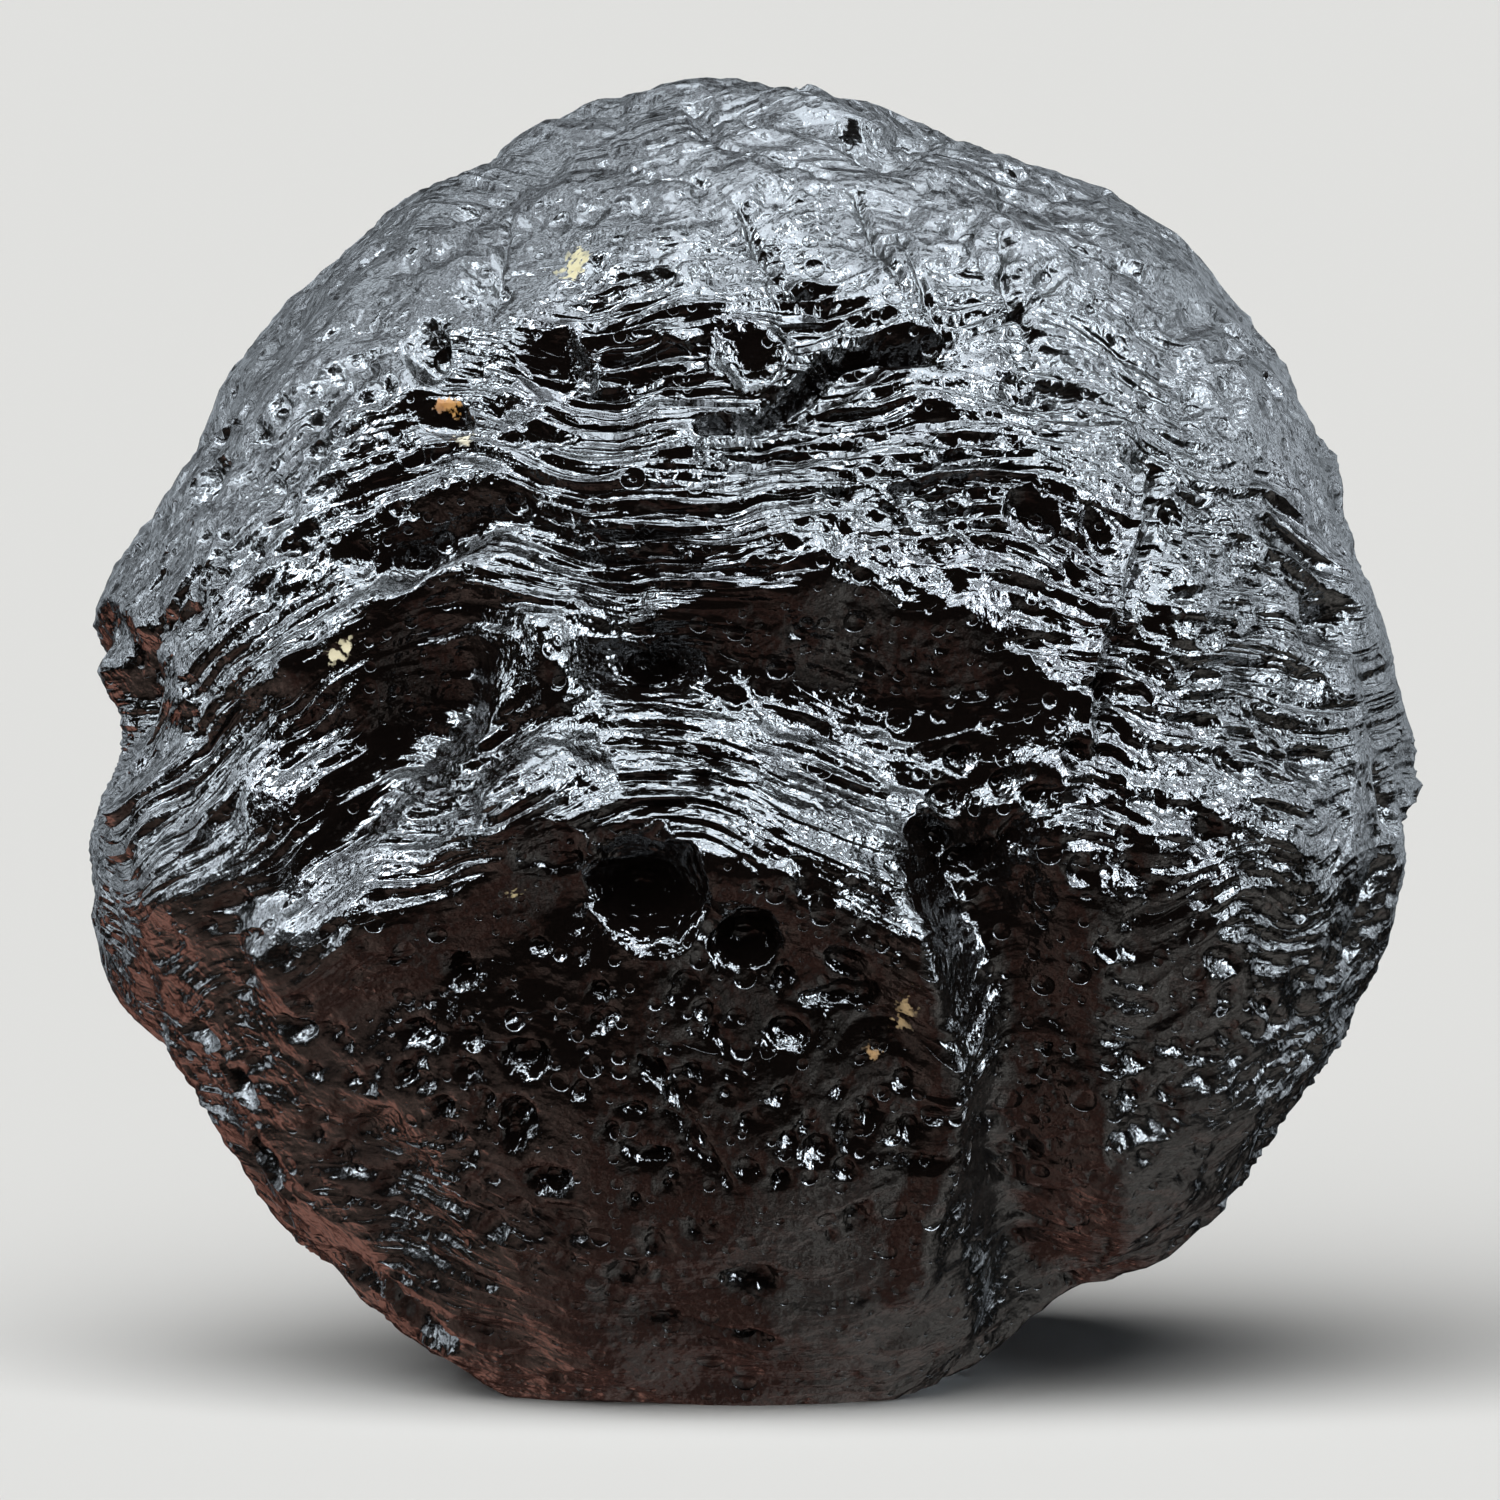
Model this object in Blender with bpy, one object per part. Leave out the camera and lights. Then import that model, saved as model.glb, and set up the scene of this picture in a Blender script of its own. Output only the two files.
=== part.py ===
"""A tektite: a rounded lump of black natural glass, standing on its small flat spot.

The stone is one piece of glass, so it is one closed solid. Its form is a radius for every direction from the
centre. A rounded body comes first. Hollows, swells, ridges, grooves and pits then move that surface in or out.
+Z is up, -Y is the front and +X is to the right. The origin lies on the flat spot, straight below the centre.

The outline and the front are laid out as an eye sees them from the front, a little above the stone. A place on
the front is (right, up) in millimetres from the centre, in the plane through the centre that faces the eye.
"""

import math

import bmesh
import bpy
import numpy as np

MM = 0.001

# Driving dimensions, in millimetres
MEAN_RADIUS = 19.5
FRONT_DEPTH = 17.3
BACK_DEPTH = 17.7
CENTRE_HEIGHT = 19.1
BODY_SQUARENESS = 2.15

# The eye that the outline and the front are laid out for: degrees above level, and millimetres away
EYE_ELEVATION = 4
EYE_DISTANCE = 600

# The outline: direction in degrees from right towards up, and radius
OUTLINE = (
    (0, 19.75), (11, 19.4), (22, 19.0), (35, 19.5), (50, 19.65), (66, 19.4), (80, 19.4), (92, 19.85),
    (101, 20.0), (113, 19.25), (125, 19.1), (140, 19.2), (152, 19.0), (163, 19.4), (171, 19.75), (179, 18.9),
    (186, 19.9), (194, 20.35), (201, 20.05), (211, 19.6), (222, 19.9), (236, 20.3), (246, 20.75), (254, 21.0),
    (264, 20.9), (278, 20.5), (286, 20.1), (293, 19.4), (301, 19.05), (309, 19.7), (320, 19.75), (330, 19.8),
    (342, 19.8), (352, 20.15),
)

# Hollows and swells on the front: name, (right, up) of the centre, half-length, half-width, turn, height
FRONT_HOLLOWS = (
    ("left hollow", (-10.1, 1.1), 4.6, 2.8, 58, -2.2),
    ("left hollow foot", (-12.3, -2.0), 2.5, 1.7, 50, -0.6),
    ("centre hollow", (3.0, 1.4), 8.6, 4.0, -10, -2.3),
    ("centre hollow left end", (-3.3, 2.7), 2.6, 1.8, -10, -0.9),
    ("centre hollow right end", (6.6, -2.0), 3.6, 3.0, -40, -1.0),
    ("lower dome", (-4.2, -11.5), 9.0, 8.0, 0, 0.9),
    ("right lobe", (14.4, -4.4), 6.0, 5.4, 20, 1.1),
    ("right lobe top", (13.0, 4.0), 4.0, 3.4, 0, 0.4),
    ("lower right lobe", (15.0, -11.0), 4.6, 4.2, 40, 0.5),
    ("lower right notch", (9.4, -17.6), 3.6, 3.4, 0, -3.0),
    ("left notch", (-18.9, 1.5), 3.2, 1.9, 0, -1.4),
    ("left heel", (-17.8, -4.2), 3.4, 2.4, 0, 0.5),
    ("top left step", (-8.6, 17.2), 3.4, 1.5, 40, -0.8),
    ("right rim pit", (17.5, 3.7), 2.3, 1.25, 10, -1.1),
    ("pit under the arch", (-3.1, -4.3), 2.1, 1.8, 0, -1.0),
    ("lower left facet", (-11.2, -13.6), 4.8, 3.2, -50, -0.7),
    ("brow", (1.0, 6.2), 6.5, 2.4, 4, 0.35),
    ("knob", (5.0, -5.3), 1.2, 1.0, 0, 0.5),
    ("lobe foot", (8.9, -2.9), 2.5, 2.0, 20, 0.6),
)

# Ridges and grooves on the front: name, (right, up) points, half-width, height
FRONT_RIDGES = (
    ("brow groove", ((-10.6, 5.7), (-9.0, 6.7), (-7.2, 6.9), (-5.5, 5.9), (-3.8, 4.7)), 1.5, -1.1),
    ("left arch", ((-13.8, 2.6), (-11.4, 4.3), (-8.7, 5.2), (-6.6, 4.4), (-5.7, 2.5)), 0.9, 0.45),
    ("nose", ((-6.1, 3.1), (-5.9, 1.3), (-5.7, -0.1)), 1.8, 0.5),
    ("right limb of the arch", ((-5.9, -1.8), (-3.0, -2.4), (0.0, -3.0), (2.3, -4.2), (4.4, -6.0)), 3.0, 1.2),
    ("long ridge", ((4.6, -5.4), (5.2, -7.6), (5.8, -9.6), (6.0, -11.6), (5.3, -14.3), (4.9, -16.4)), 1.2, 0.6),
    ("left limb of the arch", ((-5.9, -1.6), (-7.8, -3.4), (-9.8, -4.8), (-12.0, -5.8), (-13.6, -6.4)), 2.6, 1.2),
    ("trough", ((6.9, -4.4), (8.2, -7.2), (8.6, -10.0), (8.6, -13.0), (8.7, -16.4)), 2.8, -1.7),
    ("right crease", ((12.1, 8.4), (12.0, 5.5), (11.4, 3.1), (10.6, 0.8), (10.3, -1.4)), 1.2, -0.35),
    ("slanting groove", ((0.3, 9.8), (2.4, 11.2), (3.9, 12.1), (5.4, 12.2)), 0.9, -0.6),
    ("crease from the left notch", ((-19.1, 2.6), (-18.0, 3.7), (-16.6, 4.4)), 0.7, -0.5),
    ("top groove", ((-1.7, 19.6), (-1.2, 18.5)), 0.6, -0.45),
)

# Pits on the front: (right, up) of the centre, half-length, half-width, turn, depth
FRONT_PITS = (
    ((-10.1, 11.5), 0.85, 0.60, 75, 0.75),
    ((-9.3, 10.0), 0.75, 0.60, 0, 0.60),
    ((-5.8, 11.5), 1.15, 0.95, 0, 0.75),
    ((-6.5, 9.4), 1.25, 0.60, 0, 0.60),
    ((-2.8, 13.6), 1.50, 0.55, 15, 0.50),
    ((0.3, 12.0), 1.00, 0.75, 0, 0.60),
    ((-12.9, 9.6), 0.70, 0.60, 0, 0.40),
    ((8.7, 7.1), 1.05, 0.85, -30, 0.70),
    ((10.6, 6.3), 1.30, 0.55, -62, 0.55),
    ((9.7, 5.2), 0.90, 0.50, -50, 0.50),
    ((13.0, 7.0), 0.75, 0.65, 0, 0.55),
    ((14.0, -2.8), 1.00, 0.85, -60, 0.65),
    ((11.3, -3.7), 0.50, 0.50, 0, 0.45),
    ((-0.1, -6.0), 1.25, 1.15, 0, 0.70),
    ((-8.7, -6.0), 0.95, 0.85, 0, 0.50),
    ((-8.6, -4.1), 0.90, 0.55, 0, 0.45),
    ((-5.7, -3.2), 0.90, 0.90, 0, 0.50),
    ((-6.8, -9.2), 0.95, 0.95, 0, 0.60),
    ((-7.1, -11.4), 0.85, 0.80, 0, 0.55),
    ((-6.1, -13.1), 0.95, 0.70, 20, 0.50),
    ((-9.6, -8.9), 0.95, 0.55, -20, 0.45),
    ((1.5, -9.2), 1.00, 0.80, 0, 0.50),
    ((-0.1, -15.9), 0.95, 0.60, -5, 0.50),
    ((-2.6, -12.6), 0.80, 0.60, 0, 0.40),
    ((5.0, -12.4), 0.80, 0.60, 0, 0.50),
    ((6.3, -3.8), 1.10, 0.90, 0, 0.50),
    ((6.5, 3.2), 0.80, 0.70, 0, 0.55),
    ((8.4, -11.9), 0.65, 0.60, 0, 0.40),
    ((15.6, 10.1), 1.20, 0.65, -40, 0.55),
    ((-14.4, -9.8), 0.90, 0.60, 70, 0.45),
)

# Hollows and swells round the sides and back: azimuth and elevation in degrees, then as for the front
OTHER_HOLLOWS = (
    ("back hollow", (165, 22), 7.2, 3.8, 24, -1.9),
    ("back left hollow", (-142, -12), 4.6, 3.0, -40, -1.5),
    ("back right hollow", (118, -8), 4.8, 2.9, 62, -1.4),
    ("back dome", (-170, -34), 8.0, 6.4, 0, 0.8),
    ("left side hollow", (-88, 28), 4.4, 2.4, 30, -1.1),
    ("left side swell", (-104, -22), 5.6, 4.2, 0, 0.7),
    ("right side swell", (84, 26), 5.2, 4.4, 0, 0.5),
    ("right side hollow", (96, -34), 3.8, 2.2, -25, -1.0),
    ("crown hollow", (70, 74), 4.4, 2.2, 35, -0.8),
    ("back crown swell", (-150, 58), 5.4, 4.4, 0, 0.5),
    ("back foot hollow", (150, -48), 4.2, 2.4, 10, -1.0),
)

# Ridges and grooves round the sides and back: azimuth and elevation points, then as for the front
OTHER_RIDGES = (
    ("back arch", ((128, 6), (146, -4), (168, -8), (-170, 0), (-156, 12)), 2.4, 0.7),
    ("back gully", ((-160, 10), (-158, -14), (-150, -34), (-152, -54)), 2.0, -1.3),
    ("back rib", ((171, -17), (172, -30), (166, -50)), 1.3, 0.6),
    ("left side groove", ((-70, 6), (-86, 10), (-104, 4), (-120, 12)), 1.1, -0.7),
    ("right side groove", ((66, 2), (80, -6), (98, -4), (110, 12)), 1.1, -0.7),
    ("crown groove", ((-120, 52), (-90, 68), (-20, 76), (30, 66)), 1.5, -0.5),
)

# Pits strewn over the sides and back
STREWN_PITS = 50
STREWN_PIT_RADIUS = (0.75, 1.60)
STREWN_PIT_DEPTH = 0.60
STREWN_PIT_STRETCH = (0.62, 1.0)
FRONT_LIMIT = -0.45
SEED = 11

# Soft lumps all over: wavelength and height of each kind
LUMPS = ((9.0, 0.16), (4.5, 0.08))
WAVES_IN_LUMPS = 20

# The mesh: fine enough for the pits at first, then thinned where the surface is smooth
SPHERE_STEPS = 8
KEPT_FACES = 9400
SMOOTH_ANGLE = math.radians(60)

GLASS_COLOUR = (0.012, 0.009, 0.008, 1.0)
GLASS_ROUGHNESS = 0.22
GLASS_IOR = 1.50


def smoothstep(t):
    t = np.clip(t, 0.0, 1.0)
    return t * t * (3.0 - 2.0 * t)


def outline_radius(angle):
    """The radius of the front outline at each angle, on a smooth closed curve through OUTLINE."""
    corners = np.radians([point[0] for point in OUTLINE])
    radii = np.array([point[1] for point in OUTLINE])
    count = len(OUTLINE)
    turn = 2 * math.pi
    angle = np.mod(angle, turn)
    first = np.searchsorted(corners, angle, side="right") - 1

    def point(index):
        return corners[index % count] + turn * (index // count), radii[index % count]

    before, start, end, after = (point(first + step) for step in (-1, 0, 1, 2))
    span = end[0] - start[0]
    t = (angle - start[0]) / span
    slope_in = (end[1] - before[1]) / (end[0] - before[0]) * span
    slope_out = (after[1] - start[1]) / (after[0] - start[0]) * span
    rise = 3 * t**2 - 2 * t**3
    return (
        start[1] * (1 - rise)
        + end[1] * rise
        + slope_in * (t**3 - 2 * t**2 + t)
        + slope_out * (t**3 - t**2)
    )


def body_radius(directions):
    """The radius of the plain body: its outline from the front, rounded off to its depth along Y."""
    across = outline_radius(np.arctan2(directions[:, 2], directions[:, 0]))
    towards_back = smoothstep(directions[:, 1] * 0.5 + 0.5)
    depth = FRONT_DEPTH + (BACK_DEPTH - FRONT_DEPTH) * towards_back
    flat = np.hypot(directions[:, 0], directions[:, 2]) / across
    deep = np.abs(directions[:, 1]) / depth
    return (flat**BODY_SQUARENESS + deep**BODY_SQUARENESS) ** (-1 / BODY_SQUARENESS)


def on_front(right, up):
    """The direction from the centre to the front surface at the place where the eye sees (right, up)."""
    place = np.array([right, 0.0, up])
    for _ in range(12):
        radius = body_radius((place / np.linalg.norm(place))[None])[0]
        nearer = (EYE_DISTANCE + place[1]) / EYE_DISTANCE
        place[0], place[2] = right * nearer, up * nearer
        place[1] = -math.sqrt(max(radius**2 - place[0] ** 2 - place[2] ** 2, 0.01))
    return place / np.linalg.norm(place)


def around(azimuth, elevation):
    """The direction at an azimuth from the front, towards +X, and an elevation above the equator."""
    a, e = math.radians(azimuth), math.radians(elevation)
    return np.array([math.sin(a) * math.cos(e), -math.cos(a) * math.cos(e), math.sin(e)])


def oval_distance(directions, centre, length, width, turn):
    """How far each direction is from the centre of an oval on the surface, with 1 on the oval's edge."""
    up = np.array([0.0, 0.0, 1.0]) if abs(centre[2]) < 0.95 else np.array([0.0, 1.0, 0.0])
    right = np.cross(up, centre)
    right /= np.linalg.norm(right)
    up = np.cross(centre, right)
    x, y = directions @ right, directions @ up
    spread = np.arccos(np.clip(directions @ centre, -1, 1)) * MEAN_RADIUS / (np.hypot(x, y) + 1e-9)
    c, s = math.cos(math.radians(turn)), math.sin(math.radians(turn))
    return np.hypot((x * c + y * s) * spread / length, (y * c - x * s) * spread / width)


def line_distance(directions, route):
    """The distance of each direction, in millimetres on the surface, from a route of directions."""
    nearest = np.full(len(directions), -1.0)
    for point in route:
        nearest = np.maximum(nearest, directions @ point)
    return np.arccos(np.clip(nearest, -1, 1)) * MEAN_RADIUS


def curve_through(points, steps=24):
    """A smooth curve through the points, which may be directions, as a list of unit directions."""
    points = np.array(points)
    points = np.vstack([2 * points[0] - points[1], points, 2 * points[-1] - points[-2]])
    curve = []
    for a, b, c, d in zip(points, points[1:], points[2:], points[3:]):
        for t in np.linspace(0, 1, steps, endpoint=False):
            curve.append(0.5 * (2 * b + (c - a) * t + (2 * a - 5 * b + 4 * c - d) * t**2 + (3 * b - a - 3 * c + d) * t**3))
    curve.append(points[-2])
    return [point / np.linalg.norm(point) for point in curve]


def mound(q):
    """1 at the centre, falling smoothly to 0 at distance 1."""
    return np.clip(1 - q * q, 0, None) ** 2


def cup(q):
    """A pit's section: a flat floor, and a steep wall that ends at distance 1."""
    return 1 - smoothstep((q - 0.35) / 0.65)


def hollows(directions):
    height = np.zeros(len(directions))
    placed = [(on_front(*place), *rest) for _, place, *rest in FRONT_HOLLOWS]
    placed += [(around(*place), *rest) for _, place, *rest in OTHER_HOLLOWS]
    for centre, length, width, turn, rise in placed:
        height += rise * mound(oval_distance(directions, centre, length, width, turn))
    return height


def ridges(directions):
    height = np.zeros(len(directions))
    placed = [([on_front(*p) for p in points], *rest) for _, points, *rest in FRONT_RIDGES]
    placed += [([around(*p) for p in points], *rest) for _, points, *rest in OTHER_RIDGES]
    for points, width, rise in placed:
        height += rise * mound(line_distance(directions, curve_through(points)) / width)
    return height


def strewn_pits():
    """Pits at random places on the sides and back, each as in FRONT_PITS."""
    chance = np.random.default_rng(SEED)
    pits = []
    while len(pits) < STREWN_PITS:
        centre = chance.normal(size=3)
        centre /= np.linalg.norm(centre)
        length = chance.uniform(*STREWN_PIT_RADIUS)
        width = length * chance.uniform(*STREWN_PIT_STRETCH)
        turn = chance.uniform(0, 180)
        if centre[1] > FRONT_LIMIT:
            pits.append((centre, length, width, turn, STREWN_PIT_DEPTH * width))
    return pits


def pits(directions):
    """The depth of the pits. Where two of them meet, the deeper one counts."""
    depth = np.zeros(len(directions))
    placed = [(on_front(*place), *rest) for place, *rest in FRONT_PITS]
    for centre, length, width, turn, deep in placed + strewn_pits():
        depth = np.maximum(depth, deep * cup(oval_distance(directions, centre, length, width, turn)))
    return depth


def lumps(directions):
    """Soft lumps, as a sum of waves that run in random directions through the stone."""
    height = np.zeros(len(directions))
    chance = np.random.default_rng(SEED)
    for wavelength, size in LUMPS:
        for _ in range(WAVES_IN_LUMPS):
            way = chance.normal(size=3)
            way *= 2 * math.pi * MEAN_RADIUS / wavelength / np.linalg.norm(way)
            height += size * math.sqrt(2 / WAVES_IN_LUMPS) * np.sin(directions @ way + chance.uniform(0, 2 * math.pi))
    return height


def stone_radius(directions):
    return body_radius(directions) + hollows(directions) + ridges(directions) + lumps(directions) - pits(directions)


def as_seen(directions):
    """The directions in the eye's frame, where -Y points to the eye."""
    e = math.radians(EYE_ELEVATION)
    x, y, z = directions.T
    return np.column_stack([x, y * math.cos(e) - z * math.sin(e), y * math.sin(e) + z * math.cos(e)])


def glass_material():
    """Tektite glass: almost black, with a dark brown cast and a bright, slightly etched lustre."""
    material = bpy.data.materials.new("tektite_glass")
    material.use_nodes = True
    shader = material.node_tree.nodes["Principled BSDF"]
    shader.inputs["Base Color"].default_value = GLASS_COLOUR
    shader.inputs["Roughness"].default_value = GLASS_ROUGHNESS
    shader.inputs["IOR"].default_value = GLASS_IOR
    return material


def shaped_sphere():
    """A fine sphere with each vertex moved out to the stone's surface."""
    bpy.ops.mesh.primitive_ico_sphere_add(subdivisions=SPHERE_STEPS, radius=1.0)
    stone = bpy.context.object
    stone.name = "tektite"
    stone.data.name = "tektite"
    places = np.empty(len(stone.data.vertices) * 3)
    stone.data.vertices.foreach_get("co", places)
    directions = places.reshape(-1, 3)
    directions /= np.linalg.norm(directions, axis=1, keepdims=True)
    places = directions * stone_radius(as_seen(directions))[:, None]
    places[:, 2] += CENTRE_HEIGHT
    stone.data.vertices.foreach_set("co", (places * MM).ravel())
    return stone


def thin_out(stone):
    """Fewer faces, kept where the surface bends most."""
    thinner = stone.modifiers.new("thinner", "DECIMATE")
    thinner.ratio = KEPT_FACES / len(stone.data.polygons)
    bpy.ops.object.modifier_apply(modifier=thinner.name)


def cut_flat_spot(stone):
    """The stone rests on the plane z = 0: what is below it is cut off, and the cut is closed with one face."""
    mesh = bmesh.new()
    mesh.from_mesh(stone.data)
    everything = mesh.verts[:] + mesh.edges[:] + mesh.faces[:]
    bmesh.ops.bisect_plane(mesh, geom=everything, plane_co=(0, 0, 0), plane_no=(0, 0, 1), clear_inner=True)
    rim = [edge for edge in mesh.edges if edge.is_boundary]
    bmesh.ops.remove_doubles(mesh, verts=list({v for edge in rim for v in edge.verts}), dist=0.05 * MM)
    rim = [edge for edge in mesh.edges if edge.is_boundary]
    bmesh.ops.edgeloop_fill(mesh, edges=rim)
    bmesh.ops.recalc_face_normals(mesh, faces=mesh.faces[:])
    mesh.to_mesh(stone.data)
    mesh.free()


def main():
    for old in list(bpy.data.objects):
        bpy.data.objects.remove(old)
    stone = shaped_sphere()
    thin_out(stone)
    cut_flat_spot(stone)
    stone.data.shade_smooth()
    stone.data.set_sharp_from_angle(angle=SMOOTH_ANGLE)
    stone.data.materials.append(glass_material())


if __name__ == "__main__":
    main()
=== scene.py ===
# %% [markdown]
# # A tektite
# A tektite is natural glass. A meteorite struck, molten rock flew high into the air, and it froze on the
# way down. Ground water then etched the lump for hundreds of thousands of years. It opened the bubbles near
# the surface into pits, and it ate some layers of the glass faster than others, so the glass's flow shows
# as fine parallel lines. The stone is one piece. This lesson makes its surface, its glass and the light
# that it is seen in.

# %% Start from the solid stone
import math

import bpy
import numpy as np
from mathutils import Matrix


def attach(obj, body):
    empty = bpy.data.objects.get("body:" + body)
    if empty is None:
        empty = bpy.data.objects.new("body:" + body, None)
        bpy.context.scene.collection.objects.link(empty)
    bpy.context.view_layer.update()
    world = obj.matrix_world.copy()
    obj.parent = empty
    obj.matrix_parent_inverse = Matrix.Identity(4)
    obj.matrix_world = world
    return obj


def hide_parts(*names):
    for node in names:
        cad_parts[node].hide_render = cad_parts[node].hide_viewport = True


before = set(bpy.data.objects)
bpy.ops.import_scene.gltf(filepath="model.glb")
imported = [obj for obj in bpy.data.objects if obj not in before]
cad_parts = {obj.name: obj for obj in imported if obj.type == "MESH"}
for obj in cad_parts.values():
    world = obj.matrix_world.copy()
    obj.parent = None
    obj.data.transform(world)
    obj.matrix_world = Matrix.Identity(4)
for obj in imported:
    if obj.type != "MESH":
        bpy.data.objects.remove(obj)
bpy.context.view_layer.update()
bpy.ops.object.select_all(action="DESELECT")


# %% [markdown]
# ## Colours and nodes
# Colours are written as they look on a screen, as hex values, and turned to the linear values that Blender
# counts in. Every material is wired with the same small function, which adds one node with its settings and
# its links.

# %% Colours and nodes
MM = 0.001


def linear(hex_colour):
    """A screen colour such as #1a1210 as linear red, green, blue and alpha."""
    screen = [int(hex_colour[i : i + 2], 16) / 255 for i in (1, 3, 5)]
    return tuple(c / 12.92 if c <= 0.04045 else ((c + 0.055) / 1.055) ** 2.4 for c in screen) + (1.0,)


def add_node(tree, kind, settings=None, **inputs):
    """Adds a node. Inputs are values or nodes' outputs, by name with _ for spaces, or i0, i1 by number."""
    node = tree.nodes.new(kind)
    for name, value in (settings or {}).items():
        setattr(node, name, value)
    for name, value in inputs.items():
        key = int(name[1:]) if name[0] == "i" and name[1:].isdigit() else name.replace("_", " ")
        if isinstance(value, bpy.types.NodeSocket):
            tree.links.new(value, node.inputs[key])
        else:
            node.inputs[key].default_value = value
    return node


print("the grey #808080 of a screen is", round(linear("#808080")[0], 3), "of full light")

# %% [markdown]
# ## The form
# A rounded stone is easiest to describe as a distance from its centre for every direction. The outline
# gives the distance around the rim, and the depth rounds it off towards the front and the back. Hollows,
# swells, ridges and grooves then push that surface in or out. These are the same forms as in the solid, but
# here they stay smooth, because bright glass shows every facet.

# %% The body
MEAN_RADIUS = 19.5
FRONT_DEPTH = 17.3
BACK_DEPTH = 17.7
CENTRE_HEIGHT = 19.1
BODY_SQUARENESS = 2.15
# The angle from the right towards the top, in degrees, and the radius there, in mm
OUTLINE = (
    (0, 19.75), (11, 19.4), (22, 19.0), (35, 19.5), (50, 19.65), (66, 19.4), (80, 19.4), (92, 19.85),
    (101, 20.0), (113, 19.25), (125, 19.1), (140, 19.2), (152, 19.0), (163, 19.4), (171, 19.75),
    (179, 18.9), (186, 19.9), (194, 20.35), (201, 20.05), (211, 19.6), (222, 19.9), (236, 20.3),
    (246, 20.75), (254, 21.0), (264, 20.9), (278, 20.5), (286, 20.1), (293, 19.4), (301, 19.05),
    (309, 19.7), (320, 19.75), (330, 19.8), (342, 19.8), (352, 20.15),
)


def smoothstep(t):
    t = np.clip(t, 0.0, 1.0)
    return t * t * (3.0 - 2.0 * t)


def outline_radius(angle):
    """The radius of the outline at each angle, on a smooth closed curve through OUTLINE."""
    corners = np.radians([point[0] for point in OUTLINE])
    radii = np.array([point[1] for point in OUTLINE])
    count = len(OUTLINE)
    turn = 2 * math.pi
    angle = np.mod(angle, turn)
    first = np.searchsorted(corners, angle, side="right") - 1

    def point(index):
        return corners[index % count] + turn * (index // count), radii[index % count]

    before, start, end, after = (point(first + step) for step in (-1, 0, 1, 2))
    span = end[0] - start[0]
    t = (angle - start[0]) / span
    slope_in = (end[1] - before[1]) / (end[0] - before[0]) * span
    slope_out = (after[1] - start[1]) / (after[0] - start[0]) * span
    rise = 3 * t**2 - 2 * t**3
    bend = slope_in * (t**3 - 2 * t**2 + t)
    return start[1] * (1 - rise) + end[1] * rise + bend + slope_out * (t**3 - t**2)


def body_radius(directions):
    """The radius of the plain body: its outline from the front, rounded off to its depth."""
    across = outline_radius(np.arctan2(directions[:, 2], directions[:, 0]))
    depth = FRONT_DEPTH + (BACK_DEPTH - FRONT_DEPTH) * smoothstep(directions[:, 1] * 0.5 + 0.5)
    flat = np.hypot(directions[:, 0], directions[:, 2]) / across
    deep = np.abs(directions[:, 1]) / depth
    return (flat**BODY_SQUARENESS + deep**BODY_SQUARENESS) ** (-1 / BODY_SQUARENESS)


for way, direction in (("right", (1, 0, 0)), ("up", (0, 0, 1)), ("forward", (0, -1, 0))):
    print("the body reaches", round(float(body_radius(np.array([direction], dtype=float))[0]), 1), "mm", way)

# %% [markdown]
# ### Places on the stone
# The front is laid out as the camera sees it, from a little above. A place on it is (right, up) in
# millimetres from the centre. The sides and the back are laid out like a globe, by azimuth and elevation.

# %% From a place to a direction
EYE_ELEVATION = 4
EYE_DISTANCE = 600
# The depth of a seen place is found by trying, this many times, and never nearer the centre than the second
# value
BODY_ROUNDS = 12
LEAST_DEPTH_SQUARED = 0.01


def on_front(right, up):
    """The direction from the centre to the front surface at the place where the eye sees (right, up)."""
    place = np.array([right, 0.0, up])
    for _ in range(BODY_ROUNDS):
        radius = body_radius((place / np.linalg.norm(place))[None])[0]
        nearer = (EYE_DISTANCE + place[1]) / EYE_DISTANCE
        place[0], place[2] = right * nearer, up * nearer
        place[1] = -math.sqrt(max(radius**2 - place[0] ** 2 - place[2] ** 2, LEAST_DEPTH_SQUARED))
    return place / np.linalg.norm(place)


def around(azimuth, elevation):
    """The direction at an azimuth from the front, towards the right, and an elevation above the equator."""
    a, e = math.radians(azimuth), math.radians(elevation)
    return np.array([math.sin(a) * math.cos(e), -math.cos(a) * math.cos(e), math.sin(e)])


print("10 mm to the right on the front is in the direction", on_front(10, 0).round(2))

# %% [markdown]
# ### Working on many points at once
# The sphere below has over half a million points. Numpy handles them all in one go, and each feature first
# picks out the few points that it reaches, so that hundreds of pits take seconds and not minutes.

# %% Measuring on the surface
TINY = 1e-9
NEAR_POLE = 0.95
SEARCH_MARGIN = 1.05


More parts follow.
